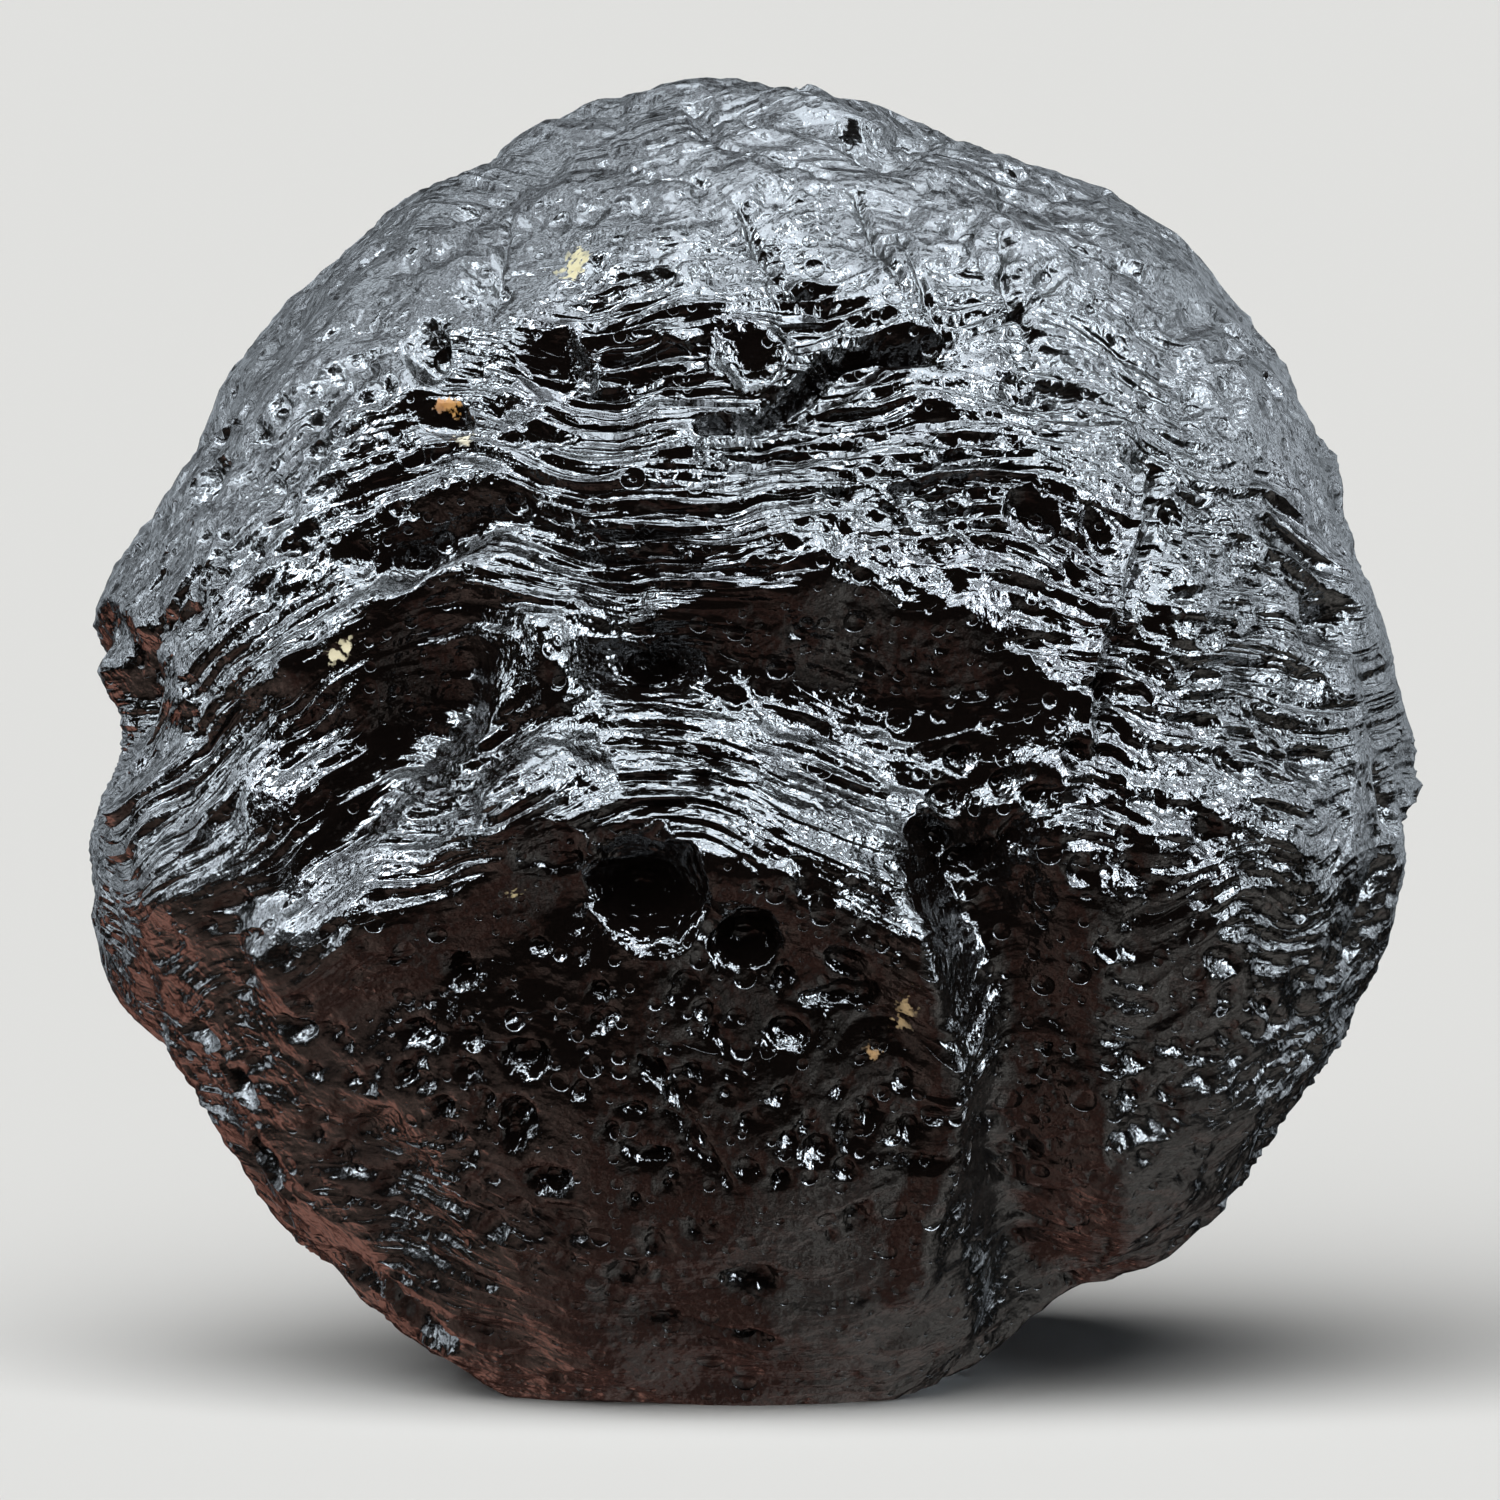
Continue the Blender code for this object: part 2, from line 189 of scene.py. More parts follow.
class Surface:
    """Directions from the stone's centre, in the eye's frame, and the height added at each, in mm."""

    def __init__(self, directions):
        self.directions = directions
        self.height = np.zeros(len(directions))

    def near(self, centre, reach):
        return np.flatnonzero(self.directions @ centre > math.cos(min(reach / MEAN_RADIUS, math.pi)))

    def oval(self, centre, length, width, turn, reach=1.0):
        """The points near an oval on the surface, and how far out each lies, with 1 on its edge."""
        up = np.array([0.0, 0.0, 1.0]) if abs(centre[2]) < NEAR_POLE else np.array([0.0, 1.0, 0.0])
        right = np.cross(up, centre)
        right /= np.linalg.norm(right)
        up = np.cross(centre, right)
        found = self.near(centre, reach * max(length, width) * SEARCH_MARGIN)
        directions = self.directions[found]
        x, y = directions @ right, directions @ up
        spread = np.arccos(np.clip(directions @ centre, -1, 1)) * MEAN_RADIUS / (np.hypot(x, y) + TINY)
        c, s = math.cos(math.radians(turn)), math.sin(math.radians(turn))
        return found, np.hypot((x * c + y * s) * spread / length, (y * c - x * s) * spread / width)

    def route(self, curve, width):
        """The points near a curve on the surface, and how far out each lies, with 1 at its edge."""
        middle = curve.mean(axis=0)
        middle /= np.linalg.norm(middle)
        span = np.arccos(np.clip((curve @ middle).min(), -1, 1)) * MEAN_RADIUS
        found = self.near(middle, span + width)
        nearest = (self.directions[found] @ curve.T).max(axis=1)
        return found, np.arccos(np.clip(nearest, -1, 1)) * MEAN_RADIUS / width


def curve_through(points, steps=24):
    """A smooth curve through the directions, as unit directions."""
    points = np.array(points)
    points = np.vstack([2 * points[0] - points[1], points, 2 * points[-1] - points[-2]])
    t = np.linspace(0, 1, steps, endpoint=False)[:, None]
    parts = [
        0.5 * (2 * b + (c - a) * t + (2 * a - 5 * b + 4 * c - d) * t**2 + (3 * b - a - 3 * c + d) * t**3)
        for a, b, c, d in zip(points, points[1:], points[2:], points[3:])
    ]
    curve = np.vstack(parts + [points[-2:-1]])
    return curve / np.linalg.norm(curve, axis=1, keepdims=True)


def mound(q):
    """1 at the centre, falling smoothly to 0 at distance 1."""
    return np.clip(1 - q * q, 0, None) ** 2


print("a mound is", mound(0.5), "of its height halfway out")

# %% [markdown]
# ### The main forms
# The photo shows a brow above two dark hollows, an arch with two limbs between them, a domed lower part,
# and a long ridge with a trough beside it. Each is an oval or a route that rises or sinks softly. By hand
# one would push them in with a sculpting brush, but a table can be measured against the photo and mended
# row by row. The forms of the sides and the back are guessed, in the same manner.

# %% Hollows, swells, ridges and grooves
# Name, place, half length and half width in mm, turn in degrees from right towards up, and rise in mm
FRONT_HOLLOWS = (
    ("left hollow", (-10.1, 1.1), 4.6, 2.8, 58, -2.2),
    ("left hollow foot", (-12.3, -2.0), 2.5, 1.7, 50, -0.6),
    ("centre hollow", (3.0, 1.4), 8.6, 4.0, -10, -2.3),
    ("centre hollow left end", (-3.3, 2.7), 2.6, 1.8, -10, -0.9),
    ("centre hollow right end", (6.6, -2.0), 3.6, 3.0, -40, -1.0),
    ("lower dome", (-4.2, -11.5), 9.0, 8.0, 0, 0.9),
    ("right lobe", (14.4, -4.4), 6.0, 5.4, 20, 1.1),
    ("right lobe top", (13.0, 4.0), 4.0, 3.4, 0, 0.4),
    ("lower right lobe", (15.0, -11.0), 4.6, 4.2, 40, 0.5),
    ("lower right notch", (9.4, -17.6), 3.6, 3.4, 0, -3.0),
    ("left notch", (-18.9, 1.5), 3.2, 1.9, 0, -1.4),
    ("left heel", (-17.8, -4.2), 3.4, 2.4, 0, 0.5),
    ("top left step", (-8.6, 17.2), 3.4, 1.5, 40, -0.8),
    ("right rim pit", (17.5, 3.7), 2.3, 1.25, 10, -1.1),
    ("pit under the arch", (-3.1, -4.3), 2.1, 1.8, 0, -1.0),
    ("lower left facet", (-11.2, -13.6), 4.8, 3.2, -50, -0.7),
    ("brow", (1.0, 6.2), 6.5, 2.4, 4, 0.35),
    ("knob", (5.0, -5.3), 1.2, 1.0, 0, 0.5),
    ("lobe foot", (8.9, -2.9), 2.5, 2.0, 20, 0.6),
)
# Name, places along it, half width and rise
FRONT_RIDGES = (
    ("brow groove", ((-10.6, 5.7), (-9.0, 6.7), (-7.2, 6.9), (-5.5, 5.9), (-3.8, 4.7)), 1.5, -1.1),
    ("left arch", ((-13.8, 2.6), (-11.4, 4.3), (-8.7, 5.2), (-6.6, 4.4), (-5.7, 2.5)), 0.9, 0.45),
    ("nose", ((-6.1, 3.1), (-5.9, 1.3), (-5.7, -0.1)), 1.8, 0.5),
    ("right limb of the arch", ((-5.9, -1.8), (-3.0, -2.4), (0.0, -3.0), (2.3, -4.2),
     (4.4, -6.0)), 3.0, 1.2),
    ("long ridge", ((4.6, -5.4), (5.2, -7.6), (5.8, -9.6), (6.0, -11.6), (5.3, -14.3),
     (4.9, -16.4)), 1.2, 0.6),
    ("left limb of the arch", ((-5.9, -1.6), (-7.8, -3.4), (-9.8, -4.8), (-12.0, -5.8),
     (-13.6, -6.4)), 2.6, 1.2),
    ("trough", ((6.9, -4.4), (8.2, -7.2), (8.6, -10.0), (8.6, -13.0), (8.7, -16.4)), 2.8, -1.7),
    ("right crease", ((12.1, 8.4), (12.0, 5.5), (11.4, 3.1), (10.6, 0.8), (10.3, -1.4)), 1.2, -0.35),
    ("slanting groove", ((0.3, 9.8), (2.4, 11.2), (3.9, 12.1), (5.4, 12.2)), 0.9, -0.6),
    ("crease from the left notch", ((-19.1, 2.6), (-18.0, 3.7), (-16.6, 4.4)), 0.7, -0.5),
    ("top groove", ((-1.7, 19.6), (-1.2, 18.5)), 0.6, -0.45),
)
# The same for the sides and the back, with azimuth and elevation as the place
OTHER_HOLLOWS = (
    ("back hollow", (165, 22), 7.2, 3.8, 24, -1.9),
    ("back left hollow", (-142, -12), 4.6, 3.0, -40, -1.5),
    ("back right hollow", (118, -8), 4.8, 2.9, 62, -1.4),
    ("back dome", (-170, -34), 8.0, 6.4, 0, 0.8),
    ("left side hollow", (-88, 28), 4.4, 2.4, 30, -1.1),
    ("left side swell", (-104, -22), 5.6, 4.2, 0, 0.7),
    ("right side swell", (84, 26), 5.2, 4.4, 0, 0.5),
    ("right side hollow", (96, -34), 3.8, 2.2, -25, -1.0),
    ("crown hollow", (70, 74), 4.4, 2.2, 35, -0.8),
    ("back crown swell", (-150, 58), 5.4, 4.4, 0, 0.5),
    ("back foot hollow", (150, -48), 4.2, 2.4, 10, -1.0),
)
OTHER_RIDGES = (
    ("back arch", ((128, 6), (146, -4), (168, -8), (-170, 0), (-156, 12)), 2.4, 0.7),
    ("back gully", ((-160, 10), (-158, -14), (-150, -34), (-152, -54)), 2.0, -1.3),
    ("back rib", ((171, -17), (172, -30), (166, -50)), 1.3, 0.6),
    ("left side groove", ((-70, 6), (-86, 10), (-104, 4), (-120, 12)), 1.1, -0.7),
    ("right side groove", ((66, 2), (80, -6), (98, -4), (110, 12)), 1.1, -0.7),
    ("crown groove", ((-120, 52), (-90, 68), (-20, 76), (30, 66)), 1.5, -0.5),
)

OVALS = [(on_front(*place), *rest) for _, place, *rest in FRONT_HOLLOWS]
OVALS += [(around(*place), *rest) for _, place, *rest in OTHER_HOLLOWS]
ROUTES = [(curve_through([on_front(*p) for p in points]), *rest) for _, points, *rest in FRONT_RIDGES]
ROUTES += [(curve_through([around(*p) for p in points]), *rest) for _, points, *rest in OTHER_RIDGES]


def add_main_forms(surface):
    for centre, length, width, turn, rise in OVALS:
        found, q = surface.oval(centre, length, width, turn)
        surface.height[found] += rise * mound(q)
    for curve, width, rise in ROUTES:
        found, q = surface.route(curve, width)
        surface.height[found] += rise * mound(q)


def main_surface(directions):
    """The points of the stone in these directions, in mm from its centre, with its main forms alone."""
    surface = Surface(directions)
    add_main_forms(surface)
    return directions * (body_radius(directions) + surface.height)[:, None]


print("main forms:", len(OVALS), "hollows and swells,", len(ROUTES), "ridges and grooves")

# %% [markdown]
# ## The flow lines
# The lines on the glass are the edges of its layers. So this stone gets one number for each point, the
# layer, and every line follows a layer. The table says which way the lines run at many places on the front,
# read off the photo. A smooth function is then fitted whose value doesn't change along those lines:
# with radial basis functions this is one small set of linear equations.

# %% Which way the lines run
PHOTO_SIZE = 1500
PHOTO_CENTRE = (750, 745)
MM_PER_PIXEL = 0.030
FLOW_LINES = (
    # x and y in the photo, and the direction in degrees, from right towards up
    (300, 250, 50), (240, 350, 55), (200, 450, 60), (150, 560, 65), (330, 330, 45), (280, 430, 55),
    (360, 440, 38), (420, 430, 45), (300, 500, 50), (370, 490, 48), (330, 560, 65), (250, 600, 70),
    (300, 620, 60), (200, 660, 70), (400, 520, 35), (440, 470, 20), (430, 250, 58), (490, 260, 80),
    (540, 180, 20), (600, 220, 10), (650, 240, 0), (650, 150, 10), (620, 110, 15), (740, 220, 60),
    (800, 200, 20), (850, 165, -15), (910, 200, -40), (890, 260, -75), (1000, 200, -30), (1050, 180, -35),
    (1150, 300, -50), (1060, 250, -45), (1200, 230, -45), (1250, 350, -55), (1300, 450, -65),
    (1340, 540, -75), (520, 530, -20), (600, 470, 15), (620, 330, 25), (620, 390, 8), (660, 290, 22),
    (700, 420, 12), (700, 480, 12), (640, 530, 25), (740, 300, 20), (760, 460, 12), (750, 520, 30),
    (800, 400, 25), (830, 365, 42), (880, 350, 8), (850, 430, 10), (900, 390, 10), (900, 440, 3),
    (950, 330, 20), (1000, 310, 20), (1000, 420, 0), (1060, 400, 3), (1100, 440, -2), (1120, 480, -8),
    (1000, 470, -5), (900, 520, 5), (820, 560, 10), (1030, 530, -50), (1100, 560, -55), (1050, 610, -40),
    (1120, 350, -50), (1210, 550, -5), (1210, 600, -10), (1265, 600, -18), (1290, 650, -38),
    (1290, 700, -46), (1200, 650, -10), (1200, 690, -14), (1150, 700, -35), (1200, 750, -20),
    (1150, 770, -22), (1250, 775, -26), (1120, 740, -50), (1110, 800, -48), (1150, 840, -32),
    (1250, 845, 30), (1180, 900, 40), (1290, 740, -50), (1340, 880, 70), (1390, 820, 80), (1350, 680, 0),
    (400, 560, 22), (470, 562, -5), (500, 580, -25), (540, 605, -40), (350, 625, 32), (330, 670, 45),
    (560, 640, 70), (545, 700, 82), (530, 760, 60), (490, 800, 45), (440, 850, 50), (360, 870, 52),
    (320, 900, 60), (370, 730, 85), (420, 770, -75), (220, 760, 68), (260, 780, 70), (200, 800, 70),
    (240, 710, 62), (290, 850, 74), (160, 760, 65), (130, 840, 75), (600, 690, -12), (630, 735, -5),
    (700, 755, -18), (640, 775, -8), (745, 780, -36), (720, 800, -38), (690, 825, -12), (790, 820, -35),
    (800, 860, -30), (860, 870, -42), (770, 880, -42), (860, 930, -48), (900, 960, -56), (920, 1040, -66),
    (945, 1080, 85), (720, 660, -50), (820, 700, -58), (850, 760, -52), (1060, 700, 28), (960, 700, 12),
    (900, 640, -8), (640, 650, 10), (150, 970, -28), (190, 1080, -50), (250, 1010, -58), (300, 1100, -42),
    (360, 1130, -42), (370, 1178, -12), (340, 1210, 0), (400, 1225, -6), (460, 1195, -26), (480, 1250, -34),
    (490, 1290, -22), (370, 1270, -55), (430, 1320, -42), (480, 1350, -28), (570, 1365, -10),
    (260, 1190, -52), (510, 1170, -52), (440, 1000, -58), (560, 1040, -55), (640, 1030, -42),
    (690, 1130, -54), (740, 1080, -58), (600, 1150, -50), (820, 1150, 30), (860, 1190, 36), (840, 1250, 44),
    (720, 1265, 36), (760, 1238, 0), (800, 1262, -36), (600, 1260, -10), (660, 1330, -3), (720, 1355, -3),
    (800, 1345, 5), (860, 1362, -4), (880, 1300, 42), (930, 1250, 62), (950, 1190, 60), (960, 1140, 62),
    (900, 1100, -45), (1030, 1085, 5), (1085, 1110, -40), (1000, 930, 34), (1050, 950, -52), (1020, 870, 0),
    (1090, 1000, -70), (1030, 1170, 0), (1040, 1230, 10), (1230, 895, 40), (1290, 900, -62),
    (1270, 960, -62), (1330, 930, 72), (1260, 1050, 68), (1220, 1060, 34), (1310, 1050, 62),
    (1180, 1080, 20), (1200, 1130, 30), (1150, 1050, 5), (1240, 1140, 50), (1130, 1190, 8),
    (1200, 1200, 36), (1150, 1235, 30),
)
# Azimuth, elevation and direction for the sides and the back
OTHER_FLOW_LINES = (
    (70, 55, -20), (110, 50, 10), (150, 55, 30), (-170, 50, 5), (-130, 52, -30), (-90, 55, 15),
    (75, 20, -70), (100, 15, -30), (130, 12, 5), (160, 5, 25), (-170, 10, -10), (-145, 15, -35),
    (-115, 12, 20), (-85, 15, 60), (80, -20, 60), (105, -25, 20), (135, -22, -15), (165, -28, 10),
    (-165, -25, 40), (-140, -28, 65), (-112, -22, -50), (-88, -20, -60), (100, -55, 15), (140, -55, -10),
    (180, -58, 0), (-140, -55, 20), (-100, -55, -15),
)
print("lines read:", len(FLOW_LINES), "on the front and", len(OTHER_FLOW_LINES), "elsewhere")

# %% [markdown]
# Each row has to become a point of the stone and a line along its surface there. The photo gives only right
# and up, so the depth is found by trying: take a depth, see how far out the stone's surface is in that
# direction, and go halfway to what it says.

# %% From pixels to the stone
STEP_ALONG_LINE = 0.1
SIGHT_ROUNDS = 16


def seen_places(places):
    """The points of the stone, in mm from its centre, that the eye sees at these (right, up) places."""
    places = np.array(places, dtype=float)
    points = np.column_stack([places[:, 0], np.zeros(len(places)), places[:, 1]])
    for _ in range(SIGHT_ROUNDS):
        directions = points / np.linalg.norm(points, axis=1, keepdims=True)
        radius = np.linalg.norm(main_surface(directions), axis=1)
        nearer = (EYE_DISTANCE + points[:, 1]) / EYE_DISTANCE
        across = places * nearer[:, None]
        deep = -np.sqrt(np.maximum(radius**2 - (across**2).sum(axis=1), LEAST_DEPTH_SQUARED))
        points = np.column_stack([across[:, 0], (points[:, 1] + deep) / 2, across[:, 1]])
    return points


def at_pixels(pixels):
    """The points of the stone that the photo shows at these pixels."""
    pixels = np.array(pixels, dtype=float)
    return seen_places((pixels - PHOTO_CENTRE) * (MM_PER_PIXEL, -MM_PER_PIXEL))


def lines_on_front():
    """Each front sample's point on the stone and the line along the surface that the photo shows there."""
    pixels = np.array([row[:2] for row in FLOW_LINES], dtype=float)
    angles = np.radians([row[2] for row in FLOW_LINES])
    step = np.column_stack([np.cos(angles), -np.sin(angles)]) * STEP_ALONG_LINE / MM_PER_PIXEL
    return at_pixels(pixels), at_pixels(pixels + step) - at_pixels(pixels - step)


def lines_round_the_sides():
    """The same for the sides and the back, where a line's angle is as one sees it facing the place."""
    directions = np.array([around(azimuth, elevation) for azimuth, elevation, _ in OTHER_FLOW_LINES])
    angles = np.radians([row[2] for row in OTHER_FLOW_LINES])[:, None]
    right = np.cross([0.0, 0.0, 1.0], directions)
    right /= np.linalg.norm(right, axis=1, keepdims=True)
    return main_surface(directions), right * np.cos(angles) + np.cross(directions, right) * np.sin(angles)


print("the largest pit is at", at_pixels([(650, 880)])[0].round(1), "mm from the centre")

# %% [markdown]
# The function is a sum of cubes of the distance from every sample, whose slopes are solved for. The slope
# has to cross the line and lie along the surface. With the smoothing, the lines of the table needn't agree
# to the last degree.

# %% Fit the layers
FLOW_SMOOTHING = 1.0


def fit_layers():
    """Places and weights of the function whose slope crosses every line of the tables, and a mean slope."""
    places, lines = (np.vstack(both) for both in zip(lines_on_front(), lines_round_the_sides()))
    slopes = np.cross(places, lines)
    slopes /= np.linalg.norm(slopes, axis=1, keepdims=True) * np.sign(slopes[:, 2:])
    apart = places[:, None] - places[None]
    distance = np.linalg.norm(apart, axis=2)[..., None, None] + TINY
    blocks = -3 * (distance * np.eye(3) + apart[..., :, None] * apart[..., None, :] / distance)
    count = 3 * len(places)
    system = np.zeros((count + 3, count + 3))
    bends = blocks.transpose(0, 2, 1, 3).reshape(count, count)
    system[:count, :count] = bends + FLOW_SMOOTHING * np.eye(count)
    system[:count, count:] = np.tile(np.eye(3), (len(places), 1))
    system[count:, :count] = system[:count, count:].T
    weights = np.linalg.solve(system, np.append(slopes.ravel(), np.zeros(3))).reshape(-1, 3)
    return places, weights[:-1], weights[-1]


FLOW_PLACES, FLOW_WEIGHTS, MEAN_SLOPE = fit_layers()


def layer_number(points):
    """The layer at each point, in millimetres of glass."""
    layer = points @ MEAN_SLOPE
    for place, weight in zip(FLOW_PLACES, FLOW_WEIGHTS):
        apart = points - place
        layer += 3 * np.sqrt(np.einsum("ij,ij->i", apart, apart)) * (apart @ weight)
    return layer


print("samples fitted:", len(FLOW_PLACES), "largest weight", round(float(np.abs(FLOW_WEIGHTS).max()), 3))

# %% [markdown]
# ## Noise
# Nothing on a natural stone repeats. Gradient noise gives every corner of a lattice its own random slope
# and blends between the corners, so it is smooth, it passes through zero about once in each unit, and it is
# the same each run.

# %% Noise
SLOPES_IN_NOISE = 256
NOISE_GAIN = 1.5


class Noise:
    """Smooth random values around 0, one bump in each unit of space."""

    def __init__(self, seed):
        chance = np.random.default_rng(seed)
        self.order = chance.permutation(SLOPES_IN_NOISE)
        slopes = chance.normal(size=(SLOPES_IN_NOISE, 3))
        self.slopes = slopes / np.linalg.norm(slopes, axis=1, keepdims=True)

    def __call__(self, points):
        low = np.floor(points)
        part = points - low
        low = low.astype(np.int64)
        fade = part**3 * (part * (part * 6 - 15) + 10)
        total = np.zeros(len(points))
        for corner in np.ndindex(2, 2, 2):
            index = 0
            for number in (low + corner).T:
                index = self.order[(index + number) & (SLOPES_IN_NOISE - 1)]
            weight = np.where(corner, fade, 1 - fade).prod(axis=1)
            total += weight * np.einsum("ij,ij->i", self.slopes[index], part - corner)
        return total * NOISE_GAIN


print("noise along a line:", Noise(1)(np.arange(8)[:, None] * np.array([[0.3, 0.2, 0.1]])).round(2))

# %% [markdown]
# ## How hard the water has bitten
# The etching isn't the same all over. The brow, the right lobe and the two limbs of the arch are cut into
# sharp strings of lines, and the dome below is smooth, with round pits only. The table gives the strength
# at places in the photo, and each point of the stone takes the mean of the places near it.

# %% Etching
ETCHING = (
    # x and y in the photo, half length and half width in its pixels, direction, strength
    (800, 430, 330, 110, 8, 1.0), (1215, 640, 190, 110, 80, 0.85), (720, 790, 200, 80, -35, 0.9),
    (440, 850, 170, 60, 50, 0.7), (250, 760, 120, 90, 70, 0.7), (500, 600, 100, 60, 0, 0.8),
    (660, 1130, 260, 190, 0, 0.10), (900, 680, 220, 60, -8, 0.15), (420, 670, 80, 60, 58, 0.2),
    (1035, 1090, 60, 170, 0, 0.35), (1180, 880, 120, 60, 20, 0.35), (1180, 1090, 130, 120, 40, 0.3),
    (300, 1020, 130, 90, -45, 0.15), (440, 1230, 110, 80, -45, 0.6), (740, 170, 230, 80, 0, 0.35),
    (330, 400, 130, 170, 50, 0.2), (1080, 290, 170, 100, -45, 0.4), (930, 1080, 50, 170, 80, 0.4),
    (700, 1330, 200, 40, 0, 0.35), (930, 330, 75, 22, -62, 0.05), (1010, 425, 60, 20, -32, 0.15),
    (1140, 560, 110, 18, 72, 0.1), (1345, 700, 120, 22, 85, 0.2),
)
ETCHING_BLUR = 1.3
# Off the table: the mean strength, how much it varies, the size of its patches in mm, and how little that
# counts
ETCHING_ELSEWHERE = 0.3
ETCHING_PATCHES = 0.4
ETCHING_PATCH_SIZE = 9.0
ELSEWHERE_COUNTS = 0.05
# The part of the depth over which the table gives way towards the sides
FRONT_BAND = 0.5


def in_photo(points):
    """The pixel of the photo at which each point of the front is seen."""
    nearer = (EYE_DISTANCE + points[:, 1:2]) / EYE_DISTANCE
    return points[:, [0, 2]] / nearer / (MM_PER_PIXEL, -MM_PER_PIXEL) + PHOTO_CENTRE


def oval_in_photo(pixels, x, y, length, width, turn):
    """How far each pixel is from an oval's centre, with 1 on its edge. The turn is from right towards up."""
    c, s = math.cos(math.radians(turn)), math.sin(math.radians(turn))
    right, up = pixels[:, 0] - x, y - pixels[:, 1]
    return np.hypot((right * c + up * s) / length, (up * c - right * s) / width)


def etching(points):
    """The strength of the etching at each point, from 0 to 1."""
    pixels = in_photo(points)
    facing = smoothstep(-points[:, 1] / (FRONT_BAND * MEAN_RADIUS))
    total = np.full(len(points), ELSEWHERE_COUNTS)
    patches = ETCHING_PATCHES * Noise(51)(points / ETCHING_PATCH_SIZE)
    strength = total * (ETCHING_ELSEWHERE + patches).clip(0, 1)
    for *oval, value in ETCHING:
        weight = facing * np.exp(-((oval_in_photo(pixels, *oval) / ETCHING_BLUR) ** 4))
        total += weight
        strength += weight * value
    return strength / total


samples = at_pixels([(800, 430), (660, 1130)])
print("etching on the brow and on the dome:", etching(samples).round(2))

# %% [markdown]
# The skin isn't equally glossy either. The sides lay deepest in the ground and are frosted, though two
# patches of them shine in the photo, and the facet in the lower left is frosted as well.

# %% Frost
# Ovals of the photo
GLOSSY = ((1235, 720, 130, 270, 0), (190, 720, 110, 180, 0))
FROSTED = ((230, 1010, 260, 130, -55),)
FROSTED_MOST = 1.2
# How far round the side the frost begins, how softly, how much it varies, and the size of its patches in mm
FROST_FROM, FROST_OVER = 0.25, 0.25
FROST_PATCHES, FROST_PATCH_SIZE = 0.5, 4.0


def in_oval(points, oval):
    """1 in an oval of the photo, falling softly to 0 outside it, on the front alone."""
    return (points[:, 1] < 0) * np.exp(-(oval_in_photo(in_photo(points), *oval) ** 4))


def frost(points):
    """How matt the skin is at each point."""
    side = 1 - np.abs(points[:, 1]) / np.linalg.norm(points, axis=1)
    patches = FROST_PATCHES * Noise(52)(points / FROST_PATCH_SIZE)
    matt = smoothstep((side - FROST_FROM) / FROST_OVER + patches)
    for oval in GLOSSY:
        matt *= 1 - in_oval(points, oval)
    for oval in FROSTED:
        matt = np.maximum(matt, FROSTED_MOST * in_oval(points, oval))
    return matt


print("frost on the brow and on the dome:", frost(samples).round(2))

# %% [markdown]
# ## Lines in relief
# Water eats the layers unevenly, so a soft layer becomes a round-bottomed groove, and the hard glass
# between two grooves stays as a sharp crest. In noise that is stretched along the layers, the distance from
# zero has just this section: a sharp line where the noise passes through zero, and a rounded bottom away
# from it. Broad lines come first, then finer ones, and ledges with one steep side each. The finest lines
# are left to the material, because a mesh that held them would be far too heavy.

# %% Striae
# Spacing of the lines, how long they run, and their depth, in mm, and a seed
STRIAE = ((1.8, 7.0, 0.20, 21), (0.95, 6.0, 0.22, 22))
CREST_WIDTH = 0.30
CREST_SHARPNESS = 0.85
GROOVE_ROUNDNESS = 1.6
LEDGE_SPACING = 0.75
LEDGE_DEPTH = 0.17
LEDGE_DROP = 0.22
# Spacing, length and seed of the noise that bends the ledges, and of the noise that breaks them off
LEDGE_WANDER, LEDGE_BENDS = 1.1, (2.6, 5.0, 31)
LEDGE_SHARE, LEDGE_CONTRAST, LEDGE_BREAKS = 0.5, 1.6, (2.0, 6.0, 32)
# Size and amount, in mm, and a seed
SWIRLS = ((4.6, 0.35, 34), (1.6, 0.06, 35))
# Size in mm, amount and a seed, and the least and the most that a line is strengthened
LINE_PATCHES = ((3.4, 1.7, 33), (1.1, 0.6, 36))
LEAST_LINED, MOST_LINED = 0.05, 1.7


def wandering_layer(points):
    """The layer at each point, with the small swirls that the table is too coarse to give."""
    layer = layer_number(points)
    for size, amount, seed in SWIRLS:
        layer += amount * Noise(seed)(points / size)
    return layer


def layered_noise(points, layer, spacing, length, seed):
    """Noise that is drawn out along the layers."""
    x, y, z = points.T
    return Noise(seed)(np.column_stack([layer / spacing, (x + 0.5 * z) / length, (y + 0.5 * z) / length]))


def striae(points, layer):
    """The depth of the grooves between the lines, and of the ledges."""
    depth = np.zeros(len(points))
    for spacing, length, deep, seed in STRIAE:
        from_crest = np.minimum(np.abs(layered_noise(points, layer, spacing, length, seed)) / CREST_WIDTH, 1)
        depth += deep * (1 - (1 - from_crest) ** GROOVE_ROUNDNESS) * from_crest ** (1 - CREST_SHARPNESS)
    wander = LEDGE_WANDER * layered_noise(points, layer, *LEDGE_BENDS)
    fades = smoothstep(LEDGE_SHARE + LEDGE_CONTRAST * layered_noise(points, layer, *LEDGE_BREAKS))
    step = np.mod(layer / LEDGE_SPACING + wander, 1.0)
    rise = np.minimum(1 - step, step / LEDGE_DROP)
    return depth + LEDGE_DEPTH * fades * (1 - smoothstep(rise / (1 - LEDGE_DROP)))


def patchy(points):
    """Where the lines are strong and where they give way to smooth glass."""
    strength = np.ones(len(points))
    for size, amount, seed in LINE_PATCHES:
        strength += amount * Noise(seed)(points / size)
    return strength.clip(LEAST_LINED, MOST_LINED)


deepest = striae(samples, wandering_layer(samples)).max()
print("deepest groove at the two places:", round(float(deepest), 2), "mm")

